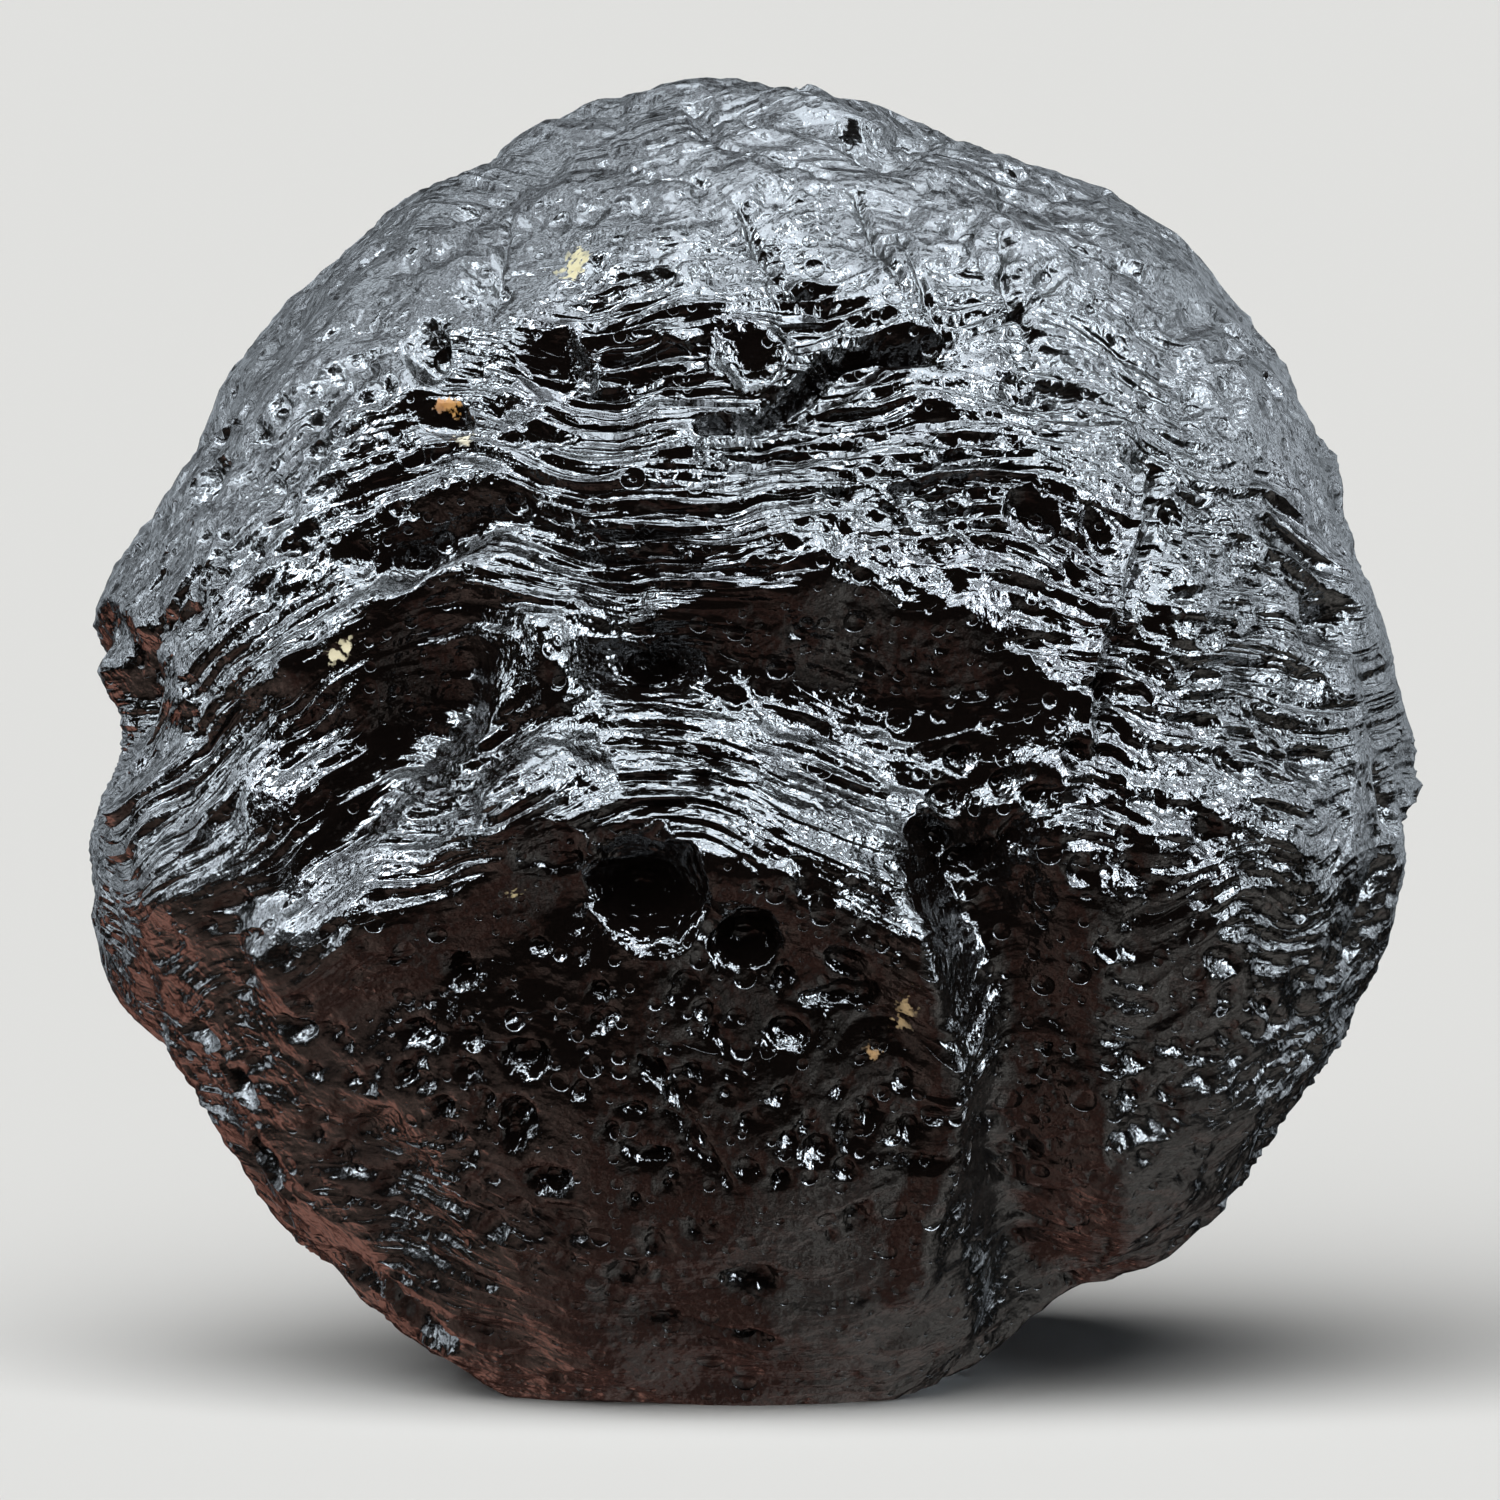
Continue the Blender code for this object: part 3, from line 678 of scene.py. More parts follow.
# %% [markdown]
# ## Pits
# A pit is a bubble that the etching has opened. Its wall is steep at the rim and its floor is round, so its
# section is close to half a circle. Where two pits meet, the deeper one counts, which leaves the sharp rim
# between them that the real ones have. The pits that catch the eye are placed one by one, where the photo
# shows them. Fields of small ones are strewn, and slots among them, which are pits that the etching drew
# out along the flow lines.

# %% The pits of the photo
PITS = (
    # x and y in the photo, half length and half width in its pixels, direction
    # The brow
    (430, 355, 30, 22, 75), (440, 413, 30, 22, 0), (552, 362, 42, 36, -15), (535, 436, 44, 13, 5),
    (752, 345, 42, 30, 0), (650, 262, 20, 6, 10), (655, 285, 42, 10, 22), (880, 245, 10, 6, 0),
    (865, 195, 6, 6, 0), (815, 187, 12, 5, 0), (850, 316, 8, 8, 0), (970, 248, 16, 7, -50),
    (990, 320, 14, 9, 0), (1015, 355, 14, 9, -20), (1070, 362, 15, 9, -25), (1030, 378, 11, 11, 0),
    (1060, 390, 10, 5, 0), (985, 405, 8, 5, -60), (1110, 412, 16, 8, 0), (935, 450, 11, 9, 0),
    (1098, 300, 8, 8, 0), (1277, 403, 16, 12, -60), (1035, 508, 36, 26, -50), (1085, 575, 28, 12, -60),
    (1105, 535, 42, 17, -58), (970, 525, 20, 10, -40), (1000, 485, 10, 10, 0), (840, 500, 20, 10, 0),
    (880, 510, 22, 10, 0), (860, 575, 16, 9, 0), (790, 545, 16, 10, 0), (760, 560, 20, 9, 0),
    (800, 525, 14, 9, 0), (600, 270, 8, 8, 0), (480, 290, 8, 8, 0), (500, 295, 14, 6, 30),
    (475, 275, 8, 8, 0), (410, 285, 6, 6, 0), (360, 363, 14, 8, 40), (320, 375, 12, 5, 50),
    (270, 497, 9, 6, 50), (300, 550, 12, 7, 30), (320, 425, 14, 10, 50), (225, 540, 9, 8, 0),
    (215, 690, 8, 8, 0), (590, 240, 7, 7, 0), (555, 220, 14, 4, 20), (640, 215, 12, 5, 0),
    (690, 235, 6, 6, 0), (640, 240, 14, 4, 0), (705, 110, 14, 6, 50), (630, 137, 6, 6, 0),
    (790, 115, 6, 6, 0), (650, 178, 5, 5, 0), (700, 180, 5, 5, 0),
    # The left rim and the left hollow
    (150, 570, 20, 9, 45), (140, 610, 14, 14, 0), (170, 600, 26, 8, 50), (190, 575, 14, 8, 40),
    (165, 680, 18, 10, 0), (350, 555, 20, 14, 80), (365, 570, 25, 9, 60), (385, 560, 28, 8, 50),
    # The right lobe
    (1180, 515, 22, 16, -45), (1215, 510, 8, 8, 0), (1190, 485, 10, 6, 0), (1235, 575, 20, 10, 0),
    (1215, 640, 22, 10, 0), (1215, 537, 40, 5, 0), (1215, 562, 40, 8, -5), (1270, 575, 30, 8, -25),
    (1225, 595, 30, 6, 0), (1190, 690, 30, 10, 0), (1215, 680, 25, 14, 0), (1170, 660, 30, 8, -25),
    (1210, 728, 45, 14, -12), (1150, 700, 20, 8, -40), (1268, 725, 35, 10, -50), (1248, 772, 40, 12, -30),
    (1140, 790, 30, 6, -20), (1175, 775, 40, 6, -15), (1318, 765, 24, 20, 0), (1290, 730, 40, 12, -48),
    (1334, 628, 40, 34, 0), (1212, 835, 24, 18, -60), (1130, 868, 12, 12, 0), (1150, 895, 8, 8, 0),
    (1330, 810, 16, 10, 0),
    # The arch and below it
    (1075, 755, 16, 16, 0), (1010, 785, 16, 16, 0), (1040, 800, 18, 18, 0), (1025, 835, 25, 22, 0),
    (1075, 870, 16, 12, 90), (965, 760, 20, 16, 0), (950, 800, 20, 18, 0), (930, 835, 24, 20, 0),
    (980, 860, 36, 18, 0), (640, 660, 40, 26, 0), (870, 705, 10, 10, 0), (815, 730, 8, 8, 0),
    (545, 850, 40, 26, 0), (650, 880, 60, 55, 0), (745, 940, 34, 32, 0), (850, 965, 30, 14, -35),
    (835, 1000, 34, 14, 0), (790, 1040, 22, 20, 0), (870, 1000, 24, 14, 0), (460, 968, 16, 16, 0),
    (540, 945, 10, 10, 0), (580, 955, 6, 6, 0), (600, 990, 12, 12, 0), (525, 1060, 24, 22, 0),
    (515, 1120, 22, 20, 0), (510, 1145, 14, 14, 0), (545, 1185, 24, 16, 0), (560, 1215, 26, 6, 0),
    (420, 1035, 20, 12, 0), (405, 1075, 12, 12, 0), (440, 1110, 14, 14, 0), (430, 1165, 8, 8, 0),
    (300, 1030, 16, 12, 0), (345, 1085, 7, 7, 0), (250, 1070, 14, 8, -50), (170, 940, 12, 6, 0),
    (205, 925, 10, 8, 0),
    # The dome
    (630, 1115, 20, 8, 0), (650, 1165, 22, 12, 0), (690, 1145, 50, 6, -53), (690, 1080, 12, 12, 0),
    (710, 1035, 10, 10, 0), (725, 1050, 12, 6, -50), (790, 1145, 10, 10, 0), (780, 1180, 10, 10, 0),
    (750, 1280, 30, 16, 0), (760, 1335, 16, 8, 0), (650, 1325, 30, 4, 0), (640, 1272, 8, 8, 0),
    (855, 1215, 12, 12, 0), (830, 1240, 6, 6, 0), (860, 1300, 6, 6, 0), (870, 1115, 14, 10, 90),
    (910, 1130, 12, 12, 0), (920, 1160, 26, 12, 0), (905, 1080, 14, 10, 0),
    # The trough and the lower right
    (1035, 1150, 10, 10, 0), (1058, 1145, 8, 8, 0), (1000, 1175, 8, 8, 0), (1050, 1190, 16, 5, 0),
    (980, 1255, 12, 8, 0), (1015, 1245, 8, 4, 0), (1150, 985, 7, 7, 0), (1225, 960, 20, 14, 0),
    (1185, 955, 16, 8, 0), (1130, 950, 10, 10, 0), (1150, 1005, 10, 5, 0), (1205, 1055, 14, 10, 0),
    (1225, 1035, 10, 10, 0), (1170, 1095, 8, 8, 0), (1160, 1125, 12, 9, 0), (1210, 1165, 10, 10, 0),
    (1110, 1260, 14, 10, 0), (1350, 990, 14, 14, 0), (1320, 975, 14, 8, 0),
)
print("pits placed one by one:", len(PITS))

# %% The fields of small pits
# Fields: x, y, half length, half width, direction, how many, smallest and largest pit, narrowest pit for
# its length
PIT_FIELDS = (
    (720, 430, 330, 120, 8, 50, 4, 10, 0.5), (640, 800, 260, 90, -20, 60, 4, 10, 0.55),
    (905, 528, 105, 75, 5, 60, 6, 15, 0.55), (870, 700, 190, 75, -10, 50, 5, 11, 0.7),
    (1040, 820, 90, 70, 0, 26, 8, 20, 0.7), (660, 1130, 240, 190, 0, 90, 7, 17, 0.75),
    (380, 340, 200, 140, 50, 90, 7, 17, 0.6), (1080, 300, 200, 110, -45, 60, 7, 17, 0.6),
    (740, 180, 270, 80, 0, 60, 7, 16, 0.55), (1210, 680, 220, 120, 85, 60, 7, 18, 0.5),
    (230, 620, 170, 90, 65, 50, 7, 15, 0.5), (300, 1060, 190, 140, -50, 60, 7, 14, 0.7),
    (1180, 1060, 170, 140, 60, 70, 7, 16, 0.7), (1040, 1100, 190, 60, 90, 40, 5, 9, 0.7),
    (880, 940, 120, 60, -50, 40, 6, 14, 0.7),
)
# Fields of slots along the flow lines: x, y, half length, half width, direction, how many, shortest and
# longest slot
SLOT_FIELDS = (
    (700, 400, 330, 130, 8, 45, 14, 46), (1215, 660, 200, 100, 85, 60, 14, 46),
    (1080, 560, 150, 80, -50, 26, 12, 36), (720, 790, 200, 80, -35, 26, 12, 34),
    (440, 850, 170, 60, 50, 16, 12, 30), (1180, 880, 120, 70, 20, 22, 10, 30),
    (300, 480, 200, 110, 55, 26, 10, 26), (440, 1230, 110, 80, -45, 16, 10, 26),
    (740, 200, 240, 80, 0, 24, 10, 30),
)
# The narrowest and the widest slot, for its length
SLOT_WIDTHS = (0.16, 0.34)
print("pits strewn:", sum(row[5] for row in PIT_FIELDS), "and slots:", sum(row[5] for row in SLOT_FIELDS))

# %% [markdown]
# ### Cutting a pit
# The tables give a pit's outline as the photo shows it, so near the rim, where the photo foreshortens, the
# pit is stretched back to its true shape. Soft noise warps the outline a little, as no real pit is a
# perfect oval. The large pits of the brow are black inside. They are cut deepest on their near side: their
# floors then face the eye, and mirror the dark round the lens.

# %% Cut one pit
WARP_SIZE = 0.8
WARP = 0.22
WIDE_PIT = 0.6
PIT_WALL = 2.2
PIT_FLOOR = 0.6
PIT_REACH = 1.6
# A pit's depth for its half width, how much of that a wider one loses, and the half width past which it
# stays
PIT_DEPTH, SHALLOWER, SHALLOWEST_AT = 1.15, 0.36, 1.6
# Facing is 1 where the surface faces the eye and 0 at the rim. Pits begin at the second value, over the
# third
LEAST_FACING, PITS_FROM, PITS_OVER = 0.5, 0.2, 0.3
# The steepest floor, and the height on the stone at which tilting begins, over the last value
MOST_TILT, TILT_FROM, TILT_OVER = 0.4, -0.2, 0.3


def pit_depth(width):
    """A small pit is deeper than half a sphere, and a wide one is shallower."""
    return width * (PIT_DEPTH - SHALLOWER * min(width, SHALLOWEST_AT))


class Relief(Surface):
    """The main surface with the fine relief that is cut into it."""

    def __init__(self, directions):
        super().__init__(directions)
        self.points = main_surface(directions)
        self.wide = np.zeros(len(directions))
        self.small = np.zeros(len(directions))
        self.warp = np.column_stack([Noise(seed)(self.points / WARP_SIZE) for seed in (61, 62)])

    def dig(self, found, q, width, depth):
        """Cuts a pit. Small pits open in the wall of a wide one, so the two kinds add up."""
        dents = self.wide if width > WIDE_PIT else self.small
        section = np.clip(1 - np.maximum(q, 0) ** PIT_WALL, 0, None) ** PIT_FLOOR
        dents[found] = np.maximum(dents[found], depth * section)

    def dig_seen(self, centre, length, width, turn, deeper):
        """Cuts a pit whose outline the photo gives, stretched again where the photo foreshortens it."""
        normal = centre / np.linalg.norm(centre)
        facing = max(abs(normal[1]), 1e-3)
        outward = normal[[0, 2]] / (np.linalg.norm(normal[[0, 2]]) + TINY)
        stretch = max(facing, LEAST_FACING) / facing
        found = self.near(normal, PIT_REACH * max(length, width) / max(facing, LEAST_FACING))
        apart = (self.points[found] - centre)[:, [0, 2]] + WARP * max(length, width) * self.warp[found]
        apart += np.outer(apart @ outward, outward) * (stretch - 1)
        c, s = math.cos(math.radians(turn)), math.sin(math.radians(turn))
        along, across = apart[:, 0] * c + apart[:, 1] * s, apart[:, 1] * c - apart[:, 0] * s
        tilt = min(math.sqrt(1 - min(facing, 1) ** 2) / facing, MOST_TILT)
        tilt *= smoothstep((normal[2] - TILT_FROM) / TILT_OVER)
        depth = deeper * pit_depth(width) - tilt * apart @ outward
        depth *= smoothstep((facing - PITS_FROM) / PITS_OVER)
        self.dig(found, np.hypot(along / length, across / width), width, depth)


for width in (0.5, 1.0, 2.0):
    print("a pit", width, "mm wide is", round(pit_depth(width / 2), 2), "mm deep")

# %% [markdown]
# ### Strewing pits
# The fields get their pits at random places, each turned along the flow lines. They leave the large pits of
# the table alone, whose rims would otherwise be eaten away. The sides and the back can't be seen in the
# photo, so pits are strewn over them too, as thickly as on the front.

# %% Strew pits and cut them all
PIT_SEED = 5
PLACED_DEPTH = 1.3
# The half width in pixels that makes a pit large, and how far round it the rim stays whole
LARGE_PIT = 13
WHOLE_RIM = 1.6
# How rare the large ones are, and how far they stray from the flow lines, in degrees
PITS_SKEW, PITS_STRAY = 2, 15
SLOTS_SKEW, SLOTS_STRAY = 1.5, 5
STREWN_PITS = 1100
STREWN_RADIUS = (0.16, 1.5)
STREWN_NARROWEST = 0.6
STREWN_SKEW, STREWN_TURN = 5, 25
# Small ones only, where they would notch the outline that the photo shows
RIM_BAND = 0.22
RIM_RADIUS = 0.4
FRONT_LIMIT = -0.35


def line_angles(pixels):
    """The direction of the flow lines at pixels of the photo, in degrees from right towards up."""
    points = at_pixels(pixels)
    slope = [layer_number(points + step) - layer_number(points) for step in 0.05 * np.eye(3)]
    line = np.cross(points, np.column_stack(slope))
    return np.degrees(np.arctan2(line[:, 2], line[:, 0]))


def in_field(chance, x, y, length, width, turn, count):
    """Random places in an oval of the photo."""
    c, s = math.cos(math.radians(turn)), math.sin(math.radians(turn))
    r, a = np.sqrt(chance.uniform(size=count)), chance.uniform(0, 2 * math.pi, count)
    along, across = length * r * np.cos(a), width * r * np.sin(a)
    return np.column_stack([x + along * c - across * s, y - along * s - across * c])


def strewn_rows(chance, field, count, sizes, widths, skew, stray):
    """Rows like those of PITS, at random places in a field and drawn out along the flow lines."""
    places = in_field(chance, *field, count)
    size = sizes[0] + (sizes[1] - sizes[0]) * chance.uniform(size=count) ** skew
    turns = line_angles(places) + stray * chance.normal(size=count)
    return zip(*places.T, size, size * chance.uniform(*widths, count), turns)


def pits_in_fields(chance):
    """The pits and slots of all the fields, but for those that would open into a large pit of the table."""
    rows = []
    for *field, count, smallest, largest, narrowest in PIT_FIELDS:
        sizes, widths = (smallest, largest), (narrowest, 1.0)
        rows += strewn_rows(chance, field, count, sizes, widths, PITS_SKEW, PITS_STRAY)
    for *field, count, shortest, longest in SLOT_FIELDS:
        sizes = (shortest, longest)
        rows += strewn_rows(chance, field, count, sizes, SLOT_WIDTHS, SLOTS_SKEW, SLOTS_STRAY)
    places = np.array([row[:2] for row in rows])
    large = [pit for pit in PITS if pit[3] >= LARGE_PIT]
    clear = np.all([oval_in_photo(places, *pit) > WHOLE_RIM for pit in large], axis=0)
    return [row for row, whole in zip(rows, clear) if whole]


def strew_round_the_sides(relief, chance):
    """Pits at random places all over, cut only where the photo doesn't show the stone."""
    strewn = 0
    while strewn < STREWN_PITS:
        centre = chance.normal(size=3)
        centre /= np.linalg.norm(centre)
        length = STREWN_RADIUS[0] + (STREWN_RADIUS[1] - STREWN_RADIUS[0]) * chance.uniform() ** STREWN_SKEW
        if abs(centre[1]) < RIM_BAND:
            length = min(length, RIM_RADIUS)
        width = length * chance.uniform(STREWN_NARROWEST, 1.0)
        turn = chance.normal() * STREWN_TURN
        if centre[1] > FRONT_LIMIT:
            found, q = relief.oval(centre, length, width, turn, reach=PIT_REACH)
            relief.dig(found, q + 2 * WARP * relief.warp[found, 0], width, pit_depth(width))
            strewn += 1


def dig_all(relief):
    """Cuts every pit, and counts them."""
    chance = np.random.default_rng(PIT_SEED)
    strewn_in_fields = pits_in_fields(chance)
    for rows, deeper in ((PITS, PLACED_DEPTH), (strewn_in_fields, 1.0)):
        centres = at_pixels([row[:2] for row in rows])
        for centre, (_, _, length, width, turn) in zip(centres, rows):
            relief.dig_seen(centre, length * MM_PER_PIXEL, width * MM_PER_PIXEL, turn, deeper)
    strew_round_the_sides(relief, chance)
    return len(PITS) + len(strewn_in_fields) + STREWN_PITS


print("the flow lines at the dome's middle run at", round(float(line_angles([(660, 1130)])[0])), "degrees")

# %% [markdown]
# ## Slits and folds
# Some long features are neither pits nor lines: the slanting groove across the brow and the faint folds
# above it, the slits and folds in the lower left, the ripples that cross the trough, the raised rim of the
# largest pit, and the crease with a fold beside it that parts the brow from the right lobe. Each is a route
# like those of the main forms, but narrow, and laid down in the photo's pixels. One more route fills the
# end of the right side's groove, which would notch the outline.

# %% Slits
SLITS = (
    # half width in pixels and depth in mm, then points in the photo
    (14, 0.9, (703, 425), (760, 412), (806, 383), (835, 352), (870, 344), (914, 350)),
    (5, 0.35, (914, 350), (950, 330), (1000, 314), (1045, 295)),
    (4, 0.2, (340, 1172), (380, 1180), (430, 1190)), (4, 0.2, (345, 1200), (390, 1210), (435, 1222)),
    (4, 0.2, (370, 1235), (415, 1247), (450, 1258)), (4, 0.2, (400, 1268), (440, 1280), (470, 1290)),
    (6, 0.2, (1000, 1150), (1050, 1160), (1095, 1145)), (6, 0.2, (1005, 1180), (1050, 1192), (1100, 1175)),
    (6, 0.2, (1010, 1212), (1055, 1222), (1105, 1205)), (6, 0.2, (1015, 1245), (1060, 1253), (1110, 1238)),
    (6, 0.25, (640, 1060), (690, 1130), (730, 1190)), (5, 0.2, (640, 1325), (700, 1330), (760, 1340)),
    (5, -0.2, (590, 905), (640, 950), (690, 945), (705, 900)),
    (9, 0.25, (505, 215), (500, 260), (490, 300)), (8, 0.3, (742, 205), (765, 250), (805, 285)),
    (8, 0.3, (862, 185), (880, 235), (905, 285)), (7, 0.3, (905, 225), (925, 285), (955, 335)),
    (8, 0.3, (1000, 240), (1012, 290), (1042, 340)), (7, 0.25, (600, 150), (650, 170), (705, 182)),
    (7, 0.25, (690, 128), (760, 150), (830, 168)),
    (9, 0.4, (1160, 470), (1150, 530), (1128, 600), (1108, 680), (1100, 760)),
    (9, -0.3, (1142, 470), (1132, 530), (1110, 600), (1090, 680), (1084, 750)),
)
# Azimuths and elevations, half width and height in mm
FILLED = ((66, 2), (80, -6), (98, -4))
FILL_WIDTH, FILL_HEIGHT = 1.1, 0.65


def cut_slits(relief):
    for width, depth, *pixels in SLITS:
        points = at_pixels(pixels)
        curve = curve_through(points / np.linalg.norm(points, axis=1, keepdims=True))
        found, q = relief.route(curve, width * MM_PER_PIXEL)
        relief.height[found] -= depth * mound(q)
    found, q = relief.route(curve_through([around(*place) for place in FILLED]), FILL_WIDTH)
    relief.height[found] += FILL_HEIGHT * mound(q)


print("slits and folds:", len(SLITS))

# %% [markdown]
# ## All the relief together
# The solid's own soft lumps come first, so that the two shapes agree. Smaller lumps follow, weaker where
# the lines are strong and on the smooth dome. Inside a pit the fine lines fade, because the glass there is
# the smooth wall of the old bubble.

# %% The whole surface
# Wavelength and height of the solid's lumps, in mm
LUMPS = ((9.0, 0.16), (4.5, 0.08))
WAVES_IN_LUMPS = 20
LUMP_SEED = 11
# Size and height in mm, and a seed
SMALL_LUMPS = ((2.6, 0.16, 41), (1.2, 0.12, 42), (0.6, 0.05, 43))
LUMPS_UNETCHED = 1.4
# Ovals of the photo where the glass between the pits is smooth, and how much of the lumps it loses there
SMOOTH = ((640, 1130, 270, 230, 0), (890, 690, 200, 70, -8))
SMOOTHED = 0.7
# How much of the lines a pit loses, and the depth in mm at which it has lost it
LINES_LOST = 0.85
LOST_AT = 0.3


def soft_lumps(directions):
    height = np.zeros(len(directions))
    chance = np.random.default_rng(LUMP_SEED)
    for wavelength, size in LUMPS:
        for _ in range(WAVES_IN_LUMPS):
            way = chance.normal(size=3)
            way *= 2 * math.pi * MEAN_RADIUS / wavelength / np.linalg.norm(way)
            wave = np.sin(directions @ way + chance.uniform(0, 2 * math.pi))
            height += size * math.sqrt(2 / WAVES_IN_LUMPS) * wave
    return height


def stone_surface(directions):
    """The radius of the finished surface in each direction, and what the material needs to know there."""
    relief = Relief(directions)
    dug = dig_all(relief)
    cut_slits(relief)
    etched = etching(relief.points)
    dents = relief.wide + relief.small
    open_glass = 1 - LINES_LOST * smoothstep(dents / LOST_AT)
    height = relief.height + soft_lumps(directions)
    rough = LUMPS_UNETCHED - etched
    for oval in SMOOTH:
        rough *= 1 - SMOOTHED * in_oval(relief.points, oval)
    for size, amount, seed in SMALL_LUMPS:
        height += amount * rough * Noise(seed)(relief.points / size)
    height -= dents
    cut = relief.points + directions * (height - relief.height)[:, None]
    layer = wandering_layer(cut)
    lined = etched * patchy(cut) * open_glass
    height -= striae(cut, layer) * lined
    print("pits:", dug, "deepest", round(float(dents.max()), 2), "mm")
    marks = {"layer": layer, "lined": lined, "frost": frost(cut)}
    return np.linalg.norm(relief.points, axis=1) + height, marks


# %% [markdown]
# ## The mesh
# By hand this stone would be sculpted, but hundreds of thousands of points can't be placed by hand the same
# way twice. So a primitive is moved out to the surface that the tables describe. An icosphere has faces of
# almost equal size, with no poles, so it is the best start for a form that is all radius. It is divided
# until its edges are finer than the lines. What the material needs to know at each point is kept with the
# mesh as attributes: the layer, how strongly it is lined, and how matt it is.

# %% Shape the sphere
SPHERE_STEPS = 9


def as_seen(directions):
    """The directions in the eye's frame, where -Y points to the eye."""
    e = math.radians(EYE_ELEVATION)
    x, y, z = directions.T
    return np.column_stack([x, y * math.cos(e) - z * math.sin(e), y * math.sin(e) + z * math.cos(e)])


def read_points(mesh):
    places = np.empty(len(mesh.vertices) * 3)
    mesh.vertices.foreach_get("co", places)
    return places.reshape(-1, 3)


bpy.ops.mesh.primitive_ico_sphere_add(subdivisions=SPHERE_STEPS, radius=1.0)
stone = bpy.context.object
stone.name = stone.data.name = "etched_stone"
directions = read_points(stone.data)
directions /= np.linalg.norm(directions, axis=1, keepdims=True)
radius, marks = stone_surface(as_seen(directions))
places = directions * radius[:, None] + (0, 0, CENTRE_HEIGHT)
stone.data.vertices.foreach_set("co", (places * MM).ravel())
for name, values in marks.items():
    stone.data.attributes.new(name, "FLOAT", "POINT").data.foreach_set("value", values.astype(np.float32))
    print(name, "from", round(float(values.min()), 2), "to", round(float(values.max()), 2))
stone.data.update()
print("sphere:", len(stone.data.polygons), "faces")

# %% [markdown]
# ### Fewer faces, and a flat spot
# Decimate drops faces where the surface is smooth and keeps them where it is cut up. The stone rests on a
# small flat spot, so the mesh is bisected at the floor and the cut is filled.

# %% Thin it out and cut the flat spot
MOST_FACES = 198_000
CUT_TOLERANCE = 1e-7

thinner = stone.modifiers.new("thinner", "DECIMATE")
thinner.ratio = min(1.0, MOST_FACES / len(stone.data.polygons))
bpy.ops.object.modifier_apply(modifier=thinner.name)

floor_cut = {"plane_co": (0, 0, 0), "plane_no": (0, 0, 1), "clear_inner": True, "use_fill": True}
bpy.ops.object.mode_set(mode="EDIT")
bpy.ops.mesh.select_all(action="SELECT")
bpy.ops.mesh.bisect(**floor_cut, threshold=CUT_TOLERANCE)
bpy.ops.mesh.select_all(action="SELECT")
bpy.ops.mesh.quads_convert_to_tris()
bpy.ops.mesh.normals_make_consistent(inside=False)
bpy.ops.object.mode_set(mode="OBJECT")
stone.data.shade_smooth()
print("stone:", len(stone.data.polygons), "faces")

# %% [markdown]
# ## Specks of soil
# A few grains of the soil it lay in still sit in its pits: one orange speck, and some pale ones. They are a
# thin crust, so they are colour and roughness alone. An attribute holds each speck's colour, and how much
# of it there is.

# %% Soil
SOIL = (
    # x, y and radius in the photo, and colour
    (441, 409, 9, "#a06a24"), (453, 406, 8, "#b9863a"), (336, 655, 9, "#d8cfae"), (345, 645, 8, "#cfc6a4"),
    (572, 272, 9, "#b5ac80"), (580, 256, 8, "#b5ac80"), (905, 1010, 9, "#a88f68"),
    (900, 1022, 7, "#a88f68"), (875, 1055, 7, "#a07c4a"), (465, 440, 6, "#cfc8ae"),
    (510, 895, 5, "#c8b78a"),
)
SOIL_SPREAD = 1.6
GRAINS_FROM, GRAINS_TO = 0.35, 0.6

points = as_seen(read_points(stone.data) / MM - (0, 0, CENTRE_HEIGHT))
soil = np.zeros((len(points), 4))
for x, y, radius, colour in SOIL:
    apart = in_photo(points) - (x, y)
    amount = mound(np.hypot(*apart.T) / (SOIL_SPREAD * radius)) * (points[:, 1] < 0)
    found = amount > soil[:, 3]
    soil[found] = np.column_stack([np.tile(linear(colour)[:3], (found.sum(), 1)), amount[found]])
specks = stone.data.attributes.new("soil", "FLOAT_COLOR", "POINT")
specks.data.foreach_set("color", soil.astype(np.float32).ravel())
print("vertices with soil:", int((soil[:, 3] > GRAINS_FROM).sum()))

# %% [markdown]
# ## The glass
# Tektite glass is silica with iron in it, nearly black in a piece as thick as this, with a dark brown cast.
# What one sees is almost all reflection: about 4% straight on, and far more at the rim, which is what an
# IOR of 1.5 gives. The etched skin is glossy but not polished, so the reflections are soft. It could be
# made as clear glass with a dark absorption, but no light gets through a stone of this size, so an opaque
# shader looks the same and renders faster.

# %% Tektite glass
GLASS = "#0a0706"
GLASS_IOR = 1.5
GLASS_ROUGHNESS = 0.07
FROST_ROUGHNESS = 0.21

glass = bpy.data.materials.new("tektite_glass_etched")
glass.use_nodes = True
tree = glass.node_tree
shader = tree.nodes["Principled BSDF"]
shader.inputs["IOR"].default_value = GLASS_IOR
place = add_node(tree, "ShaderNodeTexCoord").outputs["Object"]
in_mm = add_node(tree, "ShaderNodeVectorMath", {"operation": "SCALE"}, Vector=place, Scale=1 / MM).outputs[0]


def mark(name):
    """An attribute of the mesh."""
    return add_node(tree, "ShaderNodeAttribute", {"attribute_name": name})


def maths(operation, first, second=0.0, third=0.0):
    """A sum, in the tree that is being wired: the glass here, and the light tent further on."""
    kind = {"operation": operation}
    return add_node(tree, "ShaderNodeMath", kind, i0=first, i1=second, i2=third).outputs[0]


layer, lined = mark("layer").outputs["Fac"], mark("lined").outputs["Fac"]
straight_on = ((GLASS_IOR - 1) / (GLASS_IOR + 1)) ** 2
print("an IOR of", GLASS_IOR, "mirrors", round(100 * straight_on, 1), "% of the light straight on")

# %% [markdown]
# ### Patterns
# Three patterns make the finest relief. Crest lines are the striae over again, at a spacing that the mesh
# can't hold. Cups are the round bottoms that etching leaves side by side, like hammer marks, and drawn out
# along the layers they become slots. Soft noise roughens what is left.

